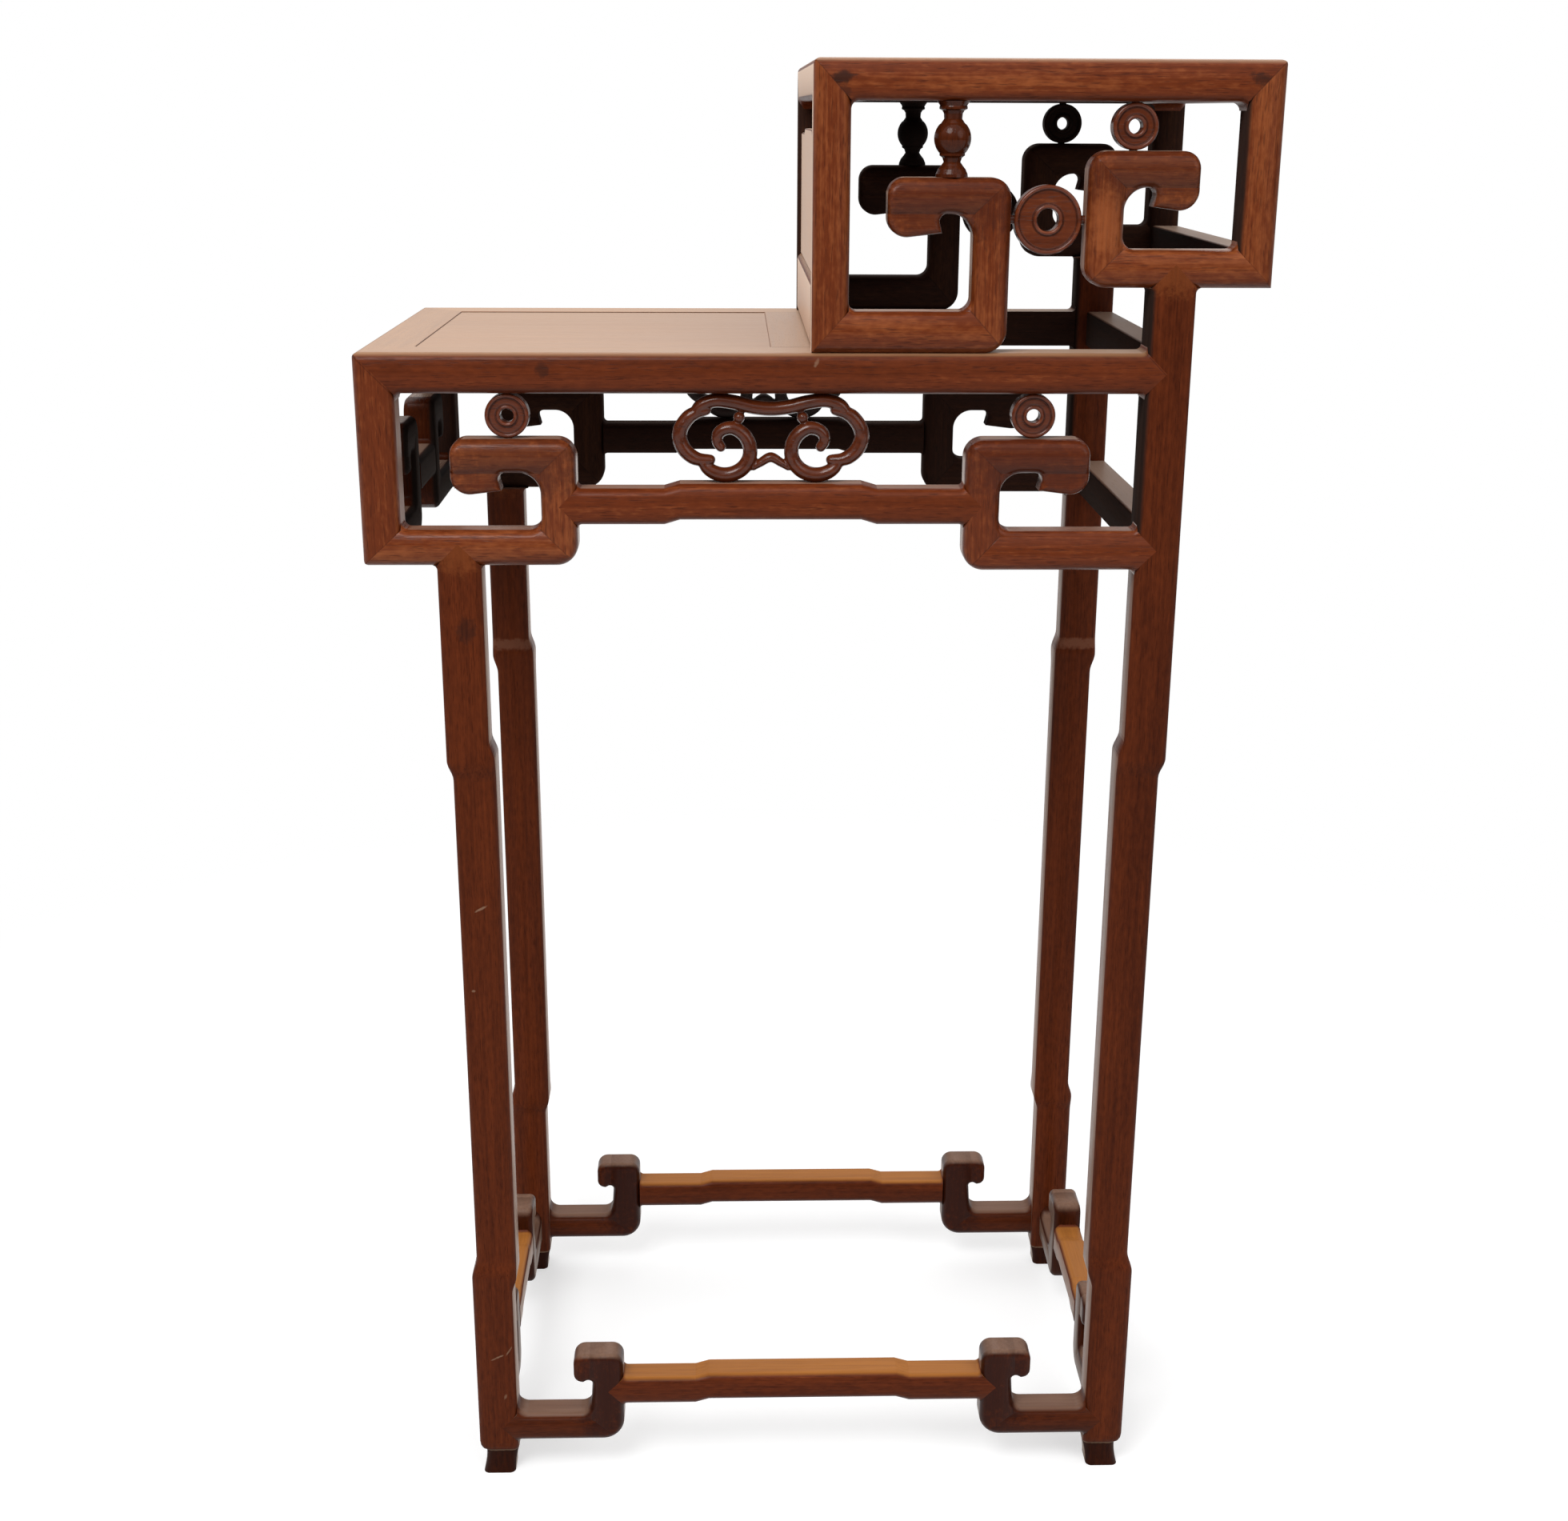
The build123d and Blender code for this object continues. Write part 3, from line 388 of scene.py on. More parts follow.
def straight_region(node, axes, seams=()):
    """A straight member whose faces swell across the given axes, with its glue lines."""
    low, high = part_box(node)

    def region(*place):
        swell = joint = None
        for axis in axes:
            share = (place[axis] - (low[axis] + high[axis]) / 2) * (2 / (high[axis] - low[axis]))
            swell = share * share if swell is None else share * share + swell
        for kind, *size in seams:
            line = {"mitre": mitre_line, "point": point_lines}[kind](*size, *place)
            joint = line if joint is None else joint.high(line)
        return None, joint, swell
    return region


def mitre_line(corner_x, corner_z, run, rise, x, y, z):
    """The glue line from a corner along a slope."""
    length = hypot(run, rise)
    gap = abs((x - corner_x) * (rise / length) - (z - corner_z) * (run / length))
    return gap.below(1.4 * JOINT_LINE)


def point_lines(axis, tip, middle, x, y, z):
    """The two glue lines of a pointed shoulder, which show on the outer faces only."""
    along, across = (x, z) if axis == "x" else (z, x)
    gap = abs(abs(across - middle) + (along - tip))
    return gap.below(2 * JOINT_LINE) * (abs(y) > SHOULDER_FACE)


def ring_region(node):
    """Rings with painted shade: dark lines in the creases beside the lip and the bead, and a darker
    recess between them.
    """
    low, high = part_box(node)
    stem = node.rpartition("_")[0]
    radius, bead_edge, lip_edge = RINGS[stem]
    middle = (low + high) / 2
    spread = (high.x - low.x) / 2 - radius if stem == "lower_rings" else 0

    def region(x, y, z):
        side, rise = abs(x - middle.x) - spread, z - middle.z
        reach = (side * side + rise * rise) ** 0.5
        # painted shade in the creases and in the recess, which the colour takes like a joint
        lines = abs(reach - bead_edge).low(abs(reach - lip_edge)).below(RING_LINE)
        painted_recess_shade = (reach > bead_edge) * (reach < lip_edge)
        return None, lines * 1.3 + painted_recess_shade * 0.5, None
    return region


# ---------------------------------------------------------------- the wood
def hardwood(name, grain="x", seed=0.0, tone=0.5, region=None, gloss=0.0, polish=0.13, shade=1.0,
             top=None, inner=None, bloom=0.45, spots=()):
    """Satin reddish hardwood with streaks, pores, cloudy figure and glue lines, with painted light
    on upward faces, painted shade on inner faces and a painted sheen.

    `grain` is the axis the fibres follow; where a region stands upright they follow Z. `tone`
    runs from 0, nearly black, to 1, light; `shade` scales every colour of the wood; `gloss`
    lowers the roughness and `polish` is the shine's strength. `top` is the colour of painted
    light on faces that look up, `inner` one of the INSIDE values, whose faces get painted shade,
    the sheen's strength how much of a painted sheen flat faces show aslant, and `spots` the
    marks in the wood.
    """
    material = bpy.data.materials.new(name)
    tree = Tree(material)
    style = look()
    place = tree.place()
    upright, joint, swell = region(*place) if region else (None, None, None)
    noises = wood_noises(tree, place, grain, seed, upright)
    colour = wood_colour(tree, noises, tone, shade)
    # glue lines darken the wood; on the rings this darkening is painted shade
    if joint is not None:
        colour = tree.mix(joint * JOINT_DARK, colour, tuple(0.5 * shade * v for v in style.deep))
    if spots:
        colour = marked(tree, colour, place, spots)
    normal = tree.node("ShaderNodeNewGeometry", out="Normal")
    facing = tree.split(normal)
    upward = facing[2].between(0.35, 0.95)
    # painted light from above: faces that look up turn paler, towards the top colour
    if top:
        top_light_share = 0.25 + noises.streak * 0.5 + noises.fine * 0.6
        colour = tree.mix(upward * top_light_share, colour, top)
    # painted sheen: a pale colour mixed into the base colour where flat faces are seen aslant
    sheen = painted_sheen_mask(tree, facing) * bloom
    rough = style.roughness - gloss + (noises.fine - 0.5) * 0.16 + (noises.cloud - 0.5) * 0.12
    rough = rough + noises.pore * 0.1
    if inner:
        # painted shade: faces that look the given way turn nearly black, lose the sheen and turn
        # rough
        painted_shade_mask = inner_faces(tree, normal, place[2], *inner)
        if top:
            painted_shade_mask = painted_shade_mask * (1 - upward)
        colour = tree.mix(painted_shade_mask * PAINTED_SHADE_SHARE, colour, PAINTED_SHADE)
        sheen = sheen * (1 - painted_shade_mask * 0.95)
        rough = rough + painted_shade_mask * 0.6
    shader = tree.node("ShaderNodeBsdfPrincipled", inputs={
        "Base Color": tree.mix(sheen, colour, tuple(style.sheen)),
        "Roughness": rough.high(0.08).low(1),
        "Normal": relief(tree, noises, joint, swell),
        "Specular IOR Level": polish,
        "IOR": 1.5})
    tree.node("ShaderNodeOutputMaterial", inputs={"Surface": shader})
    return material


def wood_noises(tree, place, grain, seed, upright):
    """Streaks, fine streaks, dark pores, clouds and flecks, drawn out along the fibres."""
    x, y, z = place
    axes = {"x": (x, y, z), "y": (y, z, x), "z": (z, x, y)}
    along, across, depth = axes[grain]
    shift = seed
    if upright is not None:
        along, across, depth = [lying + (standing - lying) * upright
                                for lying, standing in zip(axes[grain], axes["z"])]
        shift = upright * 3.7 + seed

    def drawn_out(lengthwise, crosswise, *detail):
        """Noise of so many cells to the metre, then its detail, roughness and distortion."""
        vector = tree.xyz(along * lengthwise + shift, across * crosswise, depth * crosswise)
        return tree.noise(vector, 1, *detail)
    return Noises(streak=drawn_out(2.4, 60, 5, 0.62, 0.9),
                  fine=drawn_out(12, 480, 3, 0.6),
                  pore=drawn_out(95, 1300, 1, 0.5).between(0.58, 0.72),
                  cloud=drawn_out(9, 24, 3, 0.6, 0.4),
                  fleck=drawn_out(120, 330, 2, 0.6))


def wood_colour(tree, noises, tone, shade):
    """The figure's colours, darker in the pores."""
    style = look()
    deep, mid, light = [tuple(shade * v for v in colour)
                        for colour in (style.deep, style.mid, style.light)]
    figure = (noises.streak * 0.30 + noises.fine * 0.27 + noises.cloud * 0.16
              + noises.fleck * 0.23 + (tone * 0.5 - 0.23))
    colour = tree.node("ShaderNodeValToRGB", {"stops": [
        (0.22, deep), (0.42, mixed(deep, mid, 0.6)), (0.54, mid), (0.70, light),
        (0.95, mixed(light, style.worn, 0.35))]}, {"Fac": figure})
    return tree.mix(noises.pore * 0.5, colour, deep)


def mixed(first, second, share):
    """A colour between two others."""
    return tuple(a + (b - a) * share for a, b in zip(first, second))


def marked(tree, colour, place, spots):
    """The colour with oval marks of ragged outline."""
    x, _, z = place
    ragged = (tree.noise(tree.xyz(*place), 260, 3, 0.6) - 0.5) * 2.6
    for spot_x, spot_z, length, width, lean, stain, strength in spots:
        run = (x - spot_x) * (cos(lean) / length) + (z - spot_z) * (sin(lean) / length)
        rise = (z - spot_z) * (cos(lean) / width) - (x - spot_x) * (sin(lean) / width)
        spot = 1 - (run * run + rise * rise + ragged).between(0.1, 1.3)
        colour = tree.mix(spot * strength, colour, stain)
    return colour


def painted_sheen_mask(tree, facing):
    """1 on flat faces seen aslant, 0 on roundings and on faces that look down: where the painted
    sheen goes.
    """
    slant = tree.node("ShaderNodeLayerWeight", inputs={"Blend": 0.5}, out="Facing")
    flat = abs(facing[0]).high(abs(facing[1])).high(abs(facing[2]))
    return slant.between(0.70, 0.97) * flat.between(0.95, 0.995) * (facing[2] > -0.5)


def inner_faces(tree, normal, z, way, start, base):
    """1 on faces that look the given way, above the height `base`."""
    aligned = tree.node("ShaderNodeVectorMath", {"operation": "DOT_PRODUCT"}, {0: normal, 1: way},
                        out="Value")
    return aligned.between(start, start + 0.6) * (z > base)


def relief(tree, noises, joint, swell):
    """Normals of the streaks, pores and glue lines, over the slow swell of the faces."""
    style = look()
    height = noises.fine * 0.55 + noises.streak * 0.25 - noises.pore * 0.6
    if joint is not None:
        height = height - joint * 0.8
    sockets = {"Strength": 0.55, "Distance": style.pore_depth, "Height": height}
    if swell is not None:
        sockets["Normal"] = tree.node("ShaderNodeBump", inputs={
            "Strength": 1, "Distance": style.crown, "Height": 1 - swell})
    return tree.node("ShaderNodeBump", inputs=sockets)


def finish(piece, material):
    """Gives a piece one material."""
    piece.data.materials.clear()
    piece.data.materials.append(material)


def finish_wood(nodes, tone, grain="x", region=None, seams=(), swell=None, **more):
    """The same wood on like pieces, each cut from another place in the plank.

    `swell` holds the axes across which the faces swell. A seam is ("mitre", corner x, corner z,
    run, rise) or ("point", axis, tip, middle).
    """
    axes = {"x": (2,), "y": (2,), "z": (0, 1)}[grain] if swell is None else swell
    for number, node in enumerate(nodes):
        letters = sum(ord(letter) * (place + 1) for place, letter in enumerate(node))
        seed = letters % 97 * 1.37 + number
        found = region(node) if region else straight_region(node, axes, seams)
        extra = dict(more)
        # back pieces: painted shade on their faces that look into the stand, and little shine
        if node.endswith("_back") and "stretcher" not in node:
            extra.update(inner=INSIDE_BACK, polish=0.04, spots=())
        finish(NODES[node], hardwood(f"wood_{node}", grain, seed, tone, found, **extra))


def both(stem):
    """The front and back nodes of a pair."""
    return [f"{stem}_front", f"{stem}_back"]


# ---------------------------------------------------------------- numpy surfaces
def smooth_path(points, count):
    """Points along a Catmull-Rom curve through the given ones.

    Between p1 and p2 the curve is half of 2 p1 + (p2 - p0) t + (2 p0 - 5 p1 + 4 p2 - p3) t^2
    + (3 p1 - p0 - 3 p2 + p3) t^3.
    """
    points = np.asarray(points, float)
    padded = np.vstack([2 * points[0] - points[1], points, 2 * points[-1] - points[-2]])
    t = np.linspace(0, len(points) - 1, count)
    i = np.minimum(t.astype(int), len(points) - 2)
    f = (t - i)[:, None]
    p0, p1, p2, p3 = (padded[i + k] for k in range(4))
    return 0.5 * (2 * p1 + (p2 - p0) * f + (2 * p0 - 5 * p1 + 4 * p2 - p3) * f ** 2
                  + (3 * p1 - p0 - 3 * p2 + p3) * f ** 3)


def carved_band(points, widths, depth, count, around=22, cap_rows=6):
    """A closed band of elliptic section along a path in the XZ plane.

    At share t of the path and angle a the surface is path(t) + normal(t) w(t) cos a
    + Y d(t) sin a. Here w is half the width at t, and d is half the depth, less where the band
    is narrow. Over the round cap at each end both fall to nothing by the cosine.
    """
    path = smooth_path(points, count)
    steps = np.linspace(0, 1, count)
    width = np.interp(steps, np.linspace(0, 1, len(widths)), widths) / 2
    tangent = np.gradient(path, axis=0)
    tangent /= np.linalg.norm(tangent, axis=1)[:, None]
    cap = np.linspace(0, pi / 2, cap_rows + 1)[1:]
    head = path[0] - tangent[0] * (width[0] * np.sin(cap))[:, None]
    tail = path[-1] + tangent[-1] * (width[-1] * np.sin(cap))[:, None]
    line = np.vstack([head[::-1], path, tail])
    along = np.vstack([np.repeat(tangent[:1], cap_rows, 0), tangent,
                       np.repeat(tangent[-1:], cap_rows, 0)])
    shape = np.concatenate([np.cos(cap)[::-1], np.ones(count), np.cos(cap)])
    reach = np.concatenate([np.full(cap_rows, width[0]), width, np.full(cap_rows, width[-1])])
    normal = np.stack([-along[:, 1], along[:, 0]], 1)
    angle = np.linspace(0, 2 * pi, around, endpoint=False)
    across = (reach * shape)[:, None] * np.cos(angle)
    thick = (depth / 2 * shape * (0.35 + 0.65 * reach / reach.max()))[:, None] * np.sin(angle)
    return np.stack([line[:, None, 0] + normal[:, None, 0] * across, thick,
                     line[:, None, 1] + normal[:, None, 1] * across], -1)


def bead(x, z, radius, depth, rows=12, around=20, pole=0.02):
    """An ellipsoid: centre plus radius sin b (cos a, sin a) across X and Z, depth cos b in Y.

    b runs from `pole` to pi less `pole`, and the faces at the ends close it.
    """
    b = np.linspace(pole, pi - pole, rows)[:, None]
    a = np.linspace(0, 2 * pi, around, endpoint=False)
    return np.stack([x + radius * np.sin(b) * np.cos(a), depth / 2 * np.cos(b) * np.ones_like(a),
                     z + radius * np.sin(b) * np.sin(a)], -1)


def grid_faces(start, rows, around):
    """Faces of a grid whose points begin at `start`: closed round, with both end rings filled."""
    i, j = np.meshgrid(np.arange(rows - 1), np.arange(around), indexing="ij")
    k = (j + 1) % around
    quads = np.stack([i * around + j, (i + 1) * around + j, (i + 1) * around + k,
                      i * around + k], -1).reshape(-1, 4) + start
    first_ring = start + np.arange(around)
    last_ring = start + np.arange((rows - 1) * around, rows * around)[::-1]
    return [*quads.tolist(), first_ring.tolist(), last_ring.tolist()]


def cloud_ornament(name, node):
    """The carved cloud openwork: bands, spirals, beads and a bracket melted into one form."""
    low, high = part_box(node)
    middle, half = (low + high) / 2, (high.x - low.x) / 2
    band, thick = look().band, look().band_depth
    rise = high.z - low.z

    def at(shares, side=1):
        return [(middle.x + side * sx * (half - band / 2), low.z + band / 2 + sz * (rise - band))
                for sx, sz in shares]

    def carved(form, count, side=1, depth=thick):
        shares, widths = form
        return carved_band(at(shares, side), [band * w for w in widths], depth, count)
    grids = [carved(CROWN_BAND, 160)]
    for side in (-1, 1):
        bead_x, bead_z = at([BEAD_PLACE], side)[0]
        grids += [carved(LOBE_BAND, 100, side), carved(SPIRAL_BAND, 170, side),
                  bead(bead_x, bead_z, BEAD_RADIUS, thick * FINE_DEPTH)]
    grids.append(carved(BRACKET_BAND, 60, depth=thick * FINE_DEPTH))
    faces, start = [], 0
    for grid in grids:
        rows, around = grid.shape[:2]
        faces += grid_faces(start, rows, around)
        start += rows * around
    points = np.vstack([grid.reshape(-1, 3) for grid in grids])
    points[:, 1] += middle.y
    points[:, 2] = np.clip(points[:, 2], low.z, high.z)
    mesh = bpy.data.meshes.new(name)
    mesh.from_pydata(points.tolist(), [], faces)
    return melted(name, mesh)


def melted(name, mesh, voxel=0.00055):
    """Overlapping closed forms remeshed into one smooth carved surface."""
    piece = bpy.data.objects.new(name, mesh)
    bpy.context.scene.collection.objects.link(piece)
    outward(mesh)
    remesh = piece.modifiers.new("melt", "REMESH")
    remesh.mode = "VOXEL"
    remesh.voxel_size = voxel
    soften = piece.modifiers.new("soften", "SMOOTH")
    soften.factor = 0.5
    soften.iterations = 6
    graph = bpy.context.evaluated_depsgraph_get()
    solid = bpy.data.meshes.new_from_object(piece.evaluated_get(graph))
    piece.modifiers.clear()
    piece.data = solid
    solid.polygons.foreach_set("use_smooth", np.ones(len(solid.polygons), bool))
    return piece


def outward(mesh):
    """Turns every face of a closed mesh outwards."""
    shape = bmesh.new()
    shape.from_mesh(mesh)
    bmesh.ops.remove_doubles(shape, verts=shape.verts, dist=1e-7)
    bmesh.ops.recalc_face_normals(shape, faces=shape.faces)
    shape.to_mesh(mesh)
    shape.free()


# ---------------------------------------------------------------- operators
class STAND_OT_legs(bpy.types.Operator):
    """Wood on the four legs, fibres upright"""

    bl_idname = "stand.legs"
    bl_label = "Legs"

    def execute(self, context):
        for end, tone in (("front_left", 0.34), ("front_right", 0.31), ("back_left", 0.36),
                          ("back_right", 0.32)):
            low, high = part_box(f"leg_{end}")
            middle = (low.x + high.x) / 2
            marks = [(middle, high.z, 0.022, 0.020, 0.0, LEG_TIP, 0.55)]
            if end == "front_left":
                marks.extend(LEFT_LEG_MARKS)
            # the back legs get a painted highlight on the slope of their upper inner step
            if end.startswith("back"):
                marks.append((middle, LEG_INNER_STEP, 0.040, 0.0045, 0.0, PAINTED_STEP_HIGHLIGHT, 0.75))
            # the legs' faces that look left, above the low tier, get painted shade
            finish_wood([f"leg_{end}"], tone, "z", seams=[("point", "z", high.z, middle)],
                        spots=marks, inner=INSIDE_LEG, polish=0.07)
        return {"FINISHED"}


class STAND_OT_feet(bpy.types.Operator):
    """Dark worn wood on the four feet"""

    bl_idname = "stand.feet"
    bl_label = "Feet"

    def execute(self, context):
        for end in ("front_left", "front_right", "back_left", "back_right"):
            low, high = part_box(f"foot_{end}")
            glue = ((low.x + high.x) / 2, high.z - 0.0008, 0.02, 0.0009, 0.0, BARE, 0.6)
            finish_wood([f"foot_{end}"], 0.2, "z", shade=0.4, polish=0.06, spots=[glue])
        return {"FINISHED"}


class STAND_OT_low_tier(bpy.types.Operator):
    """Wood on the low tier's posts, rails and panel"""

    bl_idname = "stand.low_tier"
    bl_label = "Low tier"

    def execute(self, context):
        low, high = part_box("corner_post_front")
        rail_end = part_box("long_rail_front")[1].x
        # the post's tip is rounded off, so the lines at its top lie about 1 mm under the joint
        crown = ("mitre", low.x, high.z, LOW_POST, -LOW_RAIL)
        heel = ("mitre", low.x, low.z, LOW_POST, SCROLL_RAIL)
        tip = ("point", "x", rail_end, high.z - LOW_RAIL / 2)
        finish_wood(both("corner_post"), 0.58, "z", seams=[crown, heel], swell=(0,))
        # TABLE paints light on faces that look up and a pale painted sheen on flat faces seen
        # aslant
        finish_wood(["long_rail_front"], 0.43, "x", seams=[crown, tip], spots=LONG_RAIL_MARKS,
                    **TABLE)
        finish_wood(["long_rail_back"], 0.45, "x", seams=[crown], top=PAINTED_TOP_LIGHT)
        # the end rails' inner faces get painted shade, their tops painted light from above
        finish_wood(["lower_left_end_rail"], 0.46, "y", inner=INSIDE_LEFT, **TABLE)
        finish_wood(["lower_cross_rail"], 0.46, "y", swell=(), **TABLE)
        finish_wood(["lower_top_panel"], 0.60, "x", swell=(), **TABLE)
        for node in ("lower_right_end_rail", "right_end_low_rail"):
            finish_wood([node], 0.40, "y", **PAINTED_LIGHT_AND_SHADE_RAIL)
        return {"FINISHED"}


class STAND_OT_raised_tier(bpy.types.Operator):
    """Wood on the raised tier's posts, rails, board and panel"""

    bl_idname = "stand.raised_tier"
    bl_label = "Raised tier"

    def execute(self, context):
        left, _, left_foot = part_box("upper_left_post_front")[0]
        right_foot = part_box("upper_right_post_front")[0].z
        right, _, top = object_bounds()[1]
        left_crown = ("mitre", left, top, UPPER_POST, -UPPER_RAIL)
        right_crown = ("mitre", right, top, -UPPER_POST, -UPPER_RAIL)
        left_heel = ("mitre", left, left_foot, UPPER_POST, TALL_SCROLL_RAIL)
        right_heel = ("mitre", right, right_foot, -UPPER_POST, SCROLL_RAIL)
        # the left faces get the full painted sheen, the tops painted light from above, and the
        # inner faces at the right painted shade
        finish_wood(both("upper_left_post"), 0.69, "z", seams=[left_crown, left_heel],
                    swell=(0,), bloom=1)
        finish_wood(both("upper_right_post"), 0.64, "z", seams=[right_crown, right_heel],
                    swell=(0,), inner=INSIDE_RIGHT)
        burns = [(left + 0.0170, 0.9885, 0.0100, 0.0040, 0.10, BURNT, 0.75),
                 (left + 0.0190, 0.9800, 0.0050, 0.0040, -0.8, BURNT, 0.40),
                 (right - 0.0150, 0.9880, 0.0095, 0.0042, -0.45, BURNT, 0.6)]
        for node, marks in (("upper_rail_front", burns), ("upper_rail_back", ())):
            finish_wood([node], 0.58, "x", seams=[left_crown, right_crown], top=PAINTED_TOP_LIGHT,
                        spots=marks)
        finish_wood(["upper_rail_left", "upper_rail_right"], 0.50, "y", top=PAINTED_TOP_LIGHT, bloom=1)
        finish_wood(["upper_top_panel"], 0.60, "x", swell=(), top=PAINTED_TOP_LIGHT)
        finish_wood(["upper_right_end_rail"], 0.40, "y", **PAINTED_LIGHT_AND_SHADE_RAIL)
        finish_wood(["upper_left_end_rail"], 0.44, "y", top=PAINTED_TOP_LIGHT, inner=INSIDE_LEFT, bloom=1)
        finish_wood(["upper_left_end_board"], 0.44, "y", swell=(), bloom=1)
        return {"FINISHED"}


class STAND_OT_scrolls(bpy.types.Operator):
    """Wood on the mitred scrolls, its fibres turning at each mitre"""

    bl_idname = "stand.scrolls"
    bl_label = "Scrolls"

    def execute(self, context):
        for stem, side, tone, rail in (
                ("lower_left_scroll", 1, 0.68, SCROLL_RAIL),
                ("lower_right_scroll", -1, 0.55, LOW_RIGHT_RAIL),
                ("upper_left_scroll", 1, 0.60, TALL_SCROLL_RAIL),
                ("upper_right_scroll", -1, 0.68, SCROLL_RAIL)):
            low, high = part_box(f"{stem}_front")
            arm_x = high.x - ARM_MIDDLE if side > 0 else low.x + ARM_MIDDLE
            marks = [(arm_x, high.z - 0.014, 0.052, 0.028, 0.0, DARK_RED, 0.6)]
            if stem == "upper_right_scroll":
                marks.append((low.x + 0.0115, low.z + 0.040, 0.022, 0.010, 1.57, AMBER, 0.6))
            finish_wood(both(stem), tone, "x", partial(scroll_region, side=side, rail=rail),
                        gloss=0.06, polish=0.16, spots=marks)
        # the left end's scrolls are darkened all over (shade 0.45): painted shade inside the
        # stand's end
        for node, seed in (("left_end_scroll_front", 25.5), ("left_end_scroll_back", 20.4)):
            finish(NODES[node], hardwood(f"wood_{node}", "y", seed, 0.46, end_scroll_region(node),
                                         gloss=0.08, polish=0.06, shade=0.45, inner=INSIDE_LEFT))
        return {"FINISHED"}


class STAND_OT_aprons(bpy.types.Operator):
    """Wood on the apron rails between the scrolls"""

    bl_idname = "stand.aprons"
    bl_label = "Apron rails"

    def execute(self, context):
        finish_wood(both("apron_rail"), 0.52, "x")
        # the left end's apron rail is darkened all over (shade 0.5): painted shade inside the
        # stand's end
        finish_wood(["left_end_apron_rail"], 0.45, "y", shade=0.5, inner=INSIDE_LEFT)
        return {"FINISHED"}


class STAND_OT_turnings(bpy.types.Operator):
    """Polished dark wood on the rings and balusters"""

    bl_idname = "stand.turnings"
    bl_label = "Rings and balusters"

    def execute(self, context):
        for stem in ("lower_rings", "upper_ring", "large_ring"):
            finish_wood(both(stem), 0.46, "x", ring_region, gloss=0.14, polish=0.35, bloom=0)
        finish_wood(both("baluster"), 0.44, "z", swell=(), gloss=0.20, polish=0.15, shade=0.55,
                    bloom=0)
        return {"FINISHED"}


class STAND_OT_clouds(bpy.types.Operator):
    """Carved cloud openwork over both apron rails"""

    bl_idname = "stand.clouds"
    bl_label = "Cloud openwork"

    def execute(self, context):
        # the back openwork gets painted shade on its faces that look into the stand
        for end, seed, inner in (("front", 11.3, None), ("back", 12.3, INSIDE_BACK)):
            node = f"ruyi_ornament_{end}"
            piece = cloud_ornament(f"cloud_openwork_{end}", node)
            finish(piece, hardwood(f"wood_cloud_{end}", "x", seed, 0.44, gloss=0.16, polish=0.35,
                                   shade=0.75, inner=inner, bloom=0))
            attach(piece, "root")
            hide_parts(node)
        return {"FINISHED"}


class STAND_OT_stretchers(bpy.types.Operator):
    """Wood on the base stretchers and their hooked uprights"""

    bl_idname = "stand.stretchers"
    bl_label = "Base stretchers"

    def execute(self, context):
        hook = LONG_HOOK_PLACE + HOOK_WIDTH / 2
        marks = [(side * hook, 0.072, 0.026, 0.052, 0.0, DARK_HOOK, 0.8) for side in (-1, 1)]
        for ends, grain, place, shade, spots in (
                (("front", "back"), "x", LONG_HOOK_PLACE, 0.7, marks),
                (("left", "right"), "y", SHORT_HOOK_PLACE, 0.4, ())):
            # the tops of stretchers and hooks get painted light from above, the hooks a weak
            # painted sheen
            finish_wood([f"stretcher_{end}" for end in ends], 0.37, grain, top=PAINTED_GOLDEN_TOP_LIGHT,
                        polish=0.09)
            finish_wood([f"stretcher_hooks_{end}" for end in ends], 0.40, grain,
                        partial(hook_region, along_y=grain == "y", place=place),
                        shade=shade, polish=0.10, top=PAINTED_GREY_TOP_LIGHT, bloom=0.25, spots=spots)
        return {"FINISHED"}


class STAND_OT_stage(bpy.types.Operator):
    """Pale floor, even room light, soft lamps and the camera"""

    bl_idname = "stand.stage"
    bl_label = "Studio"

    def execute(self, context):
        pale_floor()
        white_room()
        for lamp in LAMPS:
            soft_lamp(*lamp)
        camera()
        bpy.context.scene.view_settings.view_transform = "Standard"
        return {"FINISHED"}


# ---------------------------------------------------------------- the studio
def pale_floor():
    """A floor that the camera sees white, but for the stand's soft shadow near the middle."""
    half = FLOOR_HALF
    mesh = bpy.data.meshes.new("studio_floor")
    mesh.from_pydata([(-half, -half, 0), (half, -half, 0), (half, half, 0), (-half, half, 0)], [],
                     [(0, 1, 2, 3)])
    floor = bpy.data.objects.new("studio_floor", mesh)
    bpy.context.scene.collection.objects.link(floor)
    floor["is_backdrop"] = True
    material = bpy.data.materials.new("studio_floor")
    mesh.materials.append(material)
    tree = Tree(material)
    camera_ray, glossy_ray, transmission_ray = tree.node("ShaderNodeLightPath", out=(
        "Is Camera Ray", "Is Glossy Ray", "Is Transmission Ray"))
    seen = camera_ray.high(glossy_ray).high(transmission_ray)
    x, y, _ = tree.place()
    far = (x * x + y * y).between(*FLOOR_FADE)
    lit = tree.node("ShaderNodeBsdfDiffuse", inputs={"Color": FLOOR_UNSEEN})
    shadowed = tree.node("ShaderNodeBsdfDiffuse", inputs={"Color": FLOOR_SHADOWED})
    glow = tree.node("ShaderNodeEmission", inputs={"Color": WHITE, "Strength": FLOOR_GLOW})
    near = tree.node("ShaderNodeAddShader", inputs={0: shadowed, 1: glow})
    white = tree.node("ShaderNodeEmission", inputs={"Color": WHITE, "Strength": 1})
    shown = tree.node("ShaderNodeMixShader", inputs={0: far, 1: near, 2: white})
    shader = tree.node("ShaderNodeMixShader", inputs={0: seen, 1: lit, 2: shown})
    tree.node("ShaderNodeOutputMaterial", inputs={"Surface": shader})


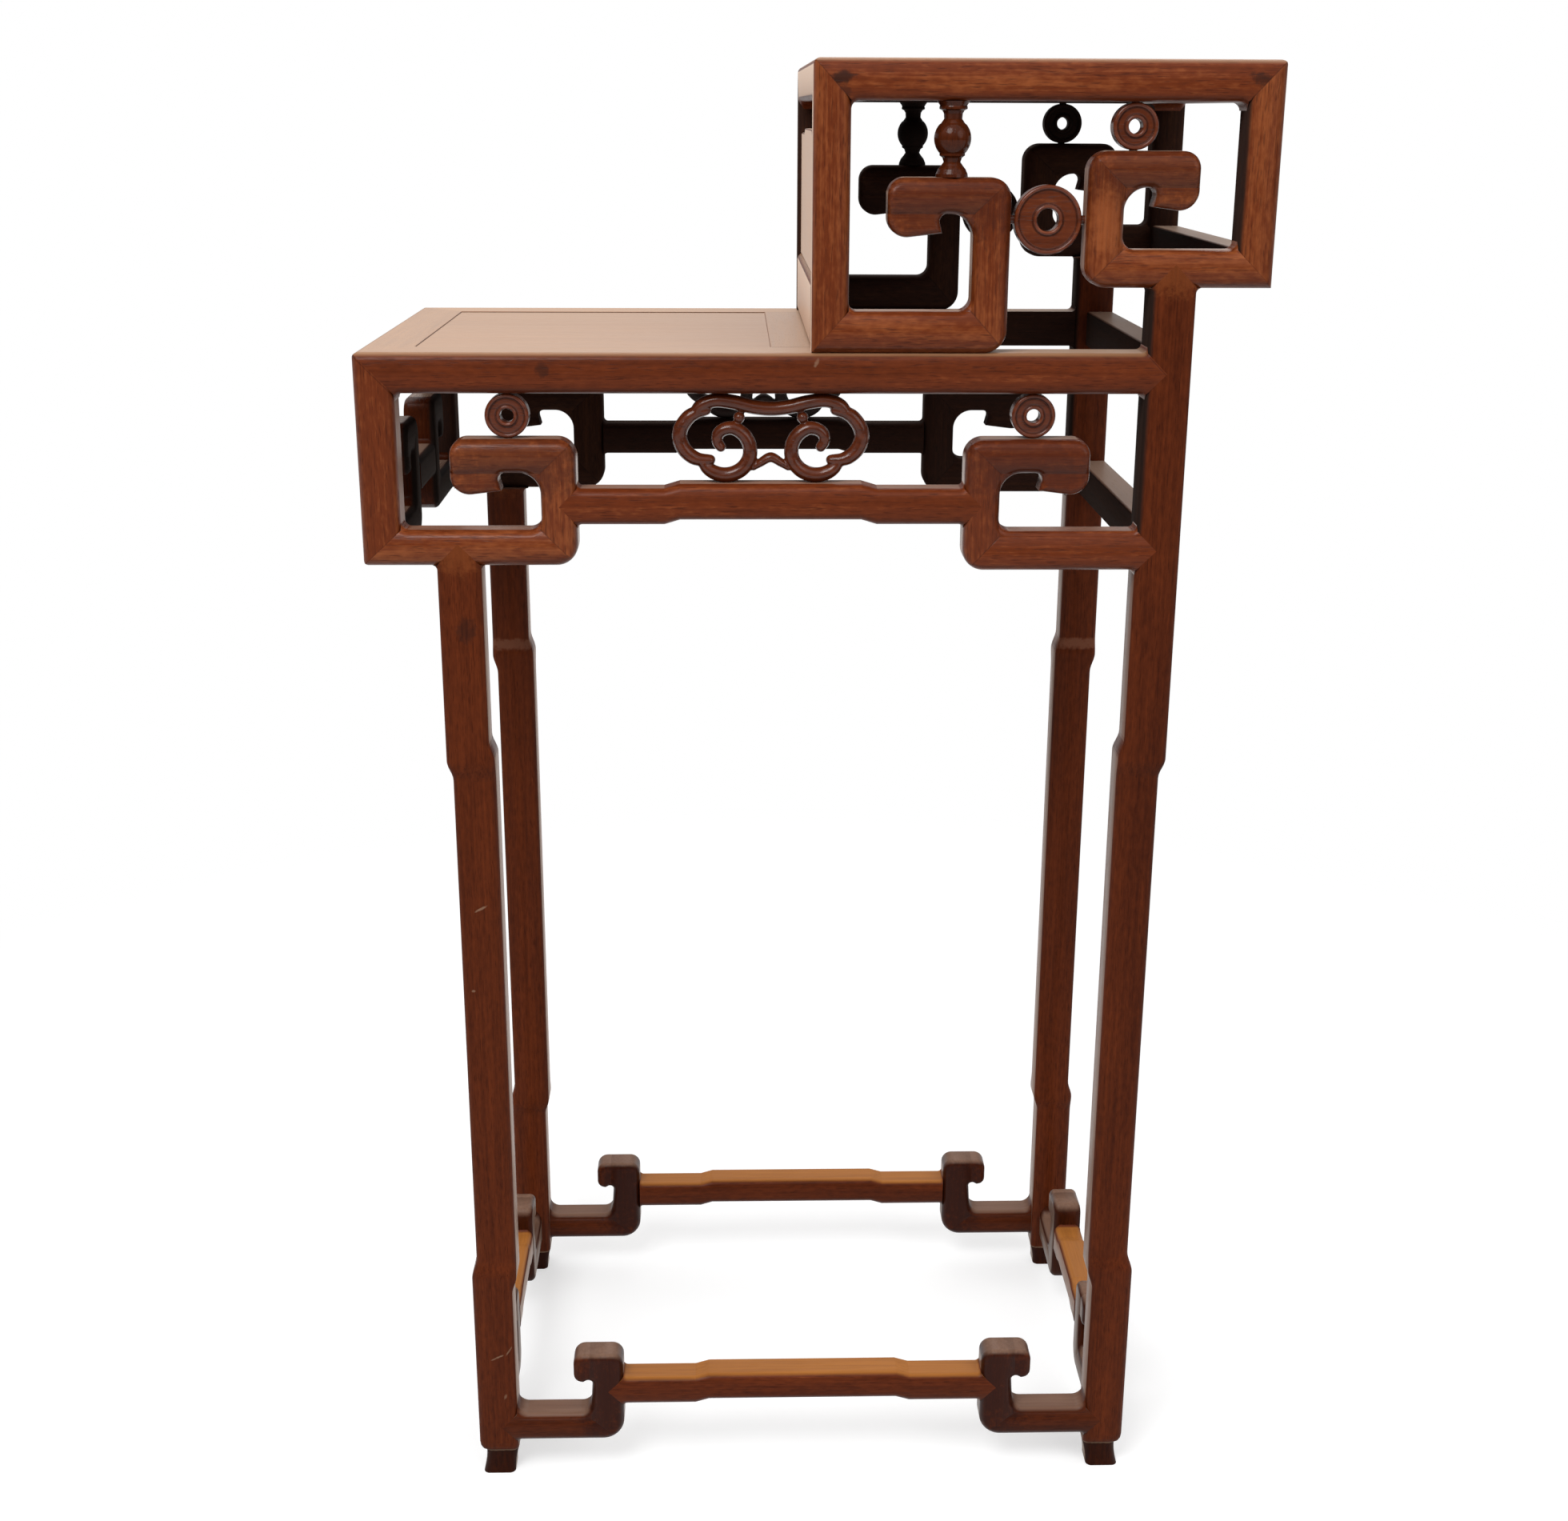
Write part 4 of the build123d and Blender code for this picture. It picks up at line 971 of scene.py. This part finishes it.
def white_room():
    """A room lit from overhead, which the camera sees white and polished wood mirrors dimly."""
    world = bpy.data.worlds.new("studio_room")
    bpy.context.scene.world = world
    tree = Tree(world)
    way = tree.split(tree.node("ShaderNodeTexCoord", out="Generated"))
    behind, overhead = way[1].between(-0.35, 0.55), way[2].between(0.0, 0.95)
    camera_ray, mirrored, transmission_ray = tree.node("ShaderNodeLightPath", out=(
        "Is Camera Ray", "Is Glossy Ray", "Is Transmission Ray"))
    strength = overhead * look().ceiling_level + look().room_level
    strength = strength + (behind * 0.30 + overhead * 0.2 - 0.10) * mirrored
    strength = strength + (1 - strength) * camera_ray.high(transmission_ray)
    shader = tree.node("ShaderNodeBackground", inputs={"Color": WHITE, "Strength": strength})
    tree.node("ShaderNodeOutputWorld", inputs={"Surface": shader})


def soft_lamp(name, place, size, share):
    """A disc lamp turned to the stand."""
    lamp = bpy.data.lights.new(f"lamp_{name}", "AREA")
    lamp.shape = "DISK"
    lamp.size = size
    lamp.energy = look().key_power * share
    holder = bpy.data.objects.new(f"lamp_{name}", lamp)
    turn = (Vector(LAMP_AIM) - Vector(place)).to_track_quat("-Z", "Y")
    holder.matrix_world = Matrix.Translation(place) @ turn.to_matrix().to_4x4()
    bpy.context.scene.collection.objects.link(holder)


def camera():
    """The camera at chest height before the stand, turned slightly right and down."""
    place = (-0.0501, -1.4228, 0.9693)
    yaw, pitch, roll = 0.0269, 0.3122, -0.0047
    ahead = Vector((sin(yaw) * cos(pitch), cos(yaw) * cos(pitch), -sin(pitch)))
    right = Vector((cos(yaw), -sin(yaw), 0))
    down = ahead.cross(right)
    right, down = right * cos(roll) + down * sin(roll), down * cos(roll) - right * sin(roll)
    lens = bpy.data.cameras.new("camera")
    lens.sensor_fit = "HORIZONTAL"
    lens.sensor_width = 36
    lens.lens = 46.216
    holder = bpy.data.objects.new("camera", lens)
    turn = Matrix((right, -down, -ahead)).transposed()
    holder.matrix_world = Matrix.Translation(place) @ turn.to_4x4()
    bpy.context.scene.collection.objects.link(holder)
    bpy.context.scene.camera = holder


# ---------------------------------------------------------------- the add-on
class STAND_PT_panel(bpy.types.Panel):
    """Buttons for the stand's pieces and its studio"""

    bl_idname = "STAND_PT_panel"
    bl_label = "Two-tier stand"
    bl_space_type = "VIEW_3D"
    bl_region_type = "UI"
    bl_category = "Stand"

    def draw(self, context):
        for name in StandLook.__annotations__:
            self.layout.prop(look(), name)
        for operator in OPERATORS:
            self.layout.operator(operator.bl_idname)


OPERATORS = (STAND_OT_legs, STAND_OT_feet, STAND_OT_low_tier, STAND_OT_raised_tier,
             STAND_OT_scrolls, STAND_OT_aprons, STAND_OT_turnings, STAND_OT_clouds,
             STAND_OT_stretchers, STAND_OT_stage)
CLASSES = (StandLook, *OPERATORS, STAND_PT_panel)


def register():
    for made in CLASSES:
        bpy.utils.register_class(made)
    bpy.types.Scene.stand_look = PointerProperty(type=StandLook)


def unregister():
    del bpy.types.Scene.stand_look
    for made in reversed(CLASSES):
        bpy.utils.unregister_class(made)


def main():
    register()
    for operator in OPERATORS:
        group, name = operator.bl_idname.split(".")
        if getattr(getattr(bpy.ops, group), name)() != {"FINISHED"}:
            raise RuntimeError(f"{operator.bl_label} did not finish")


if __name__ == "__main__":
    main()
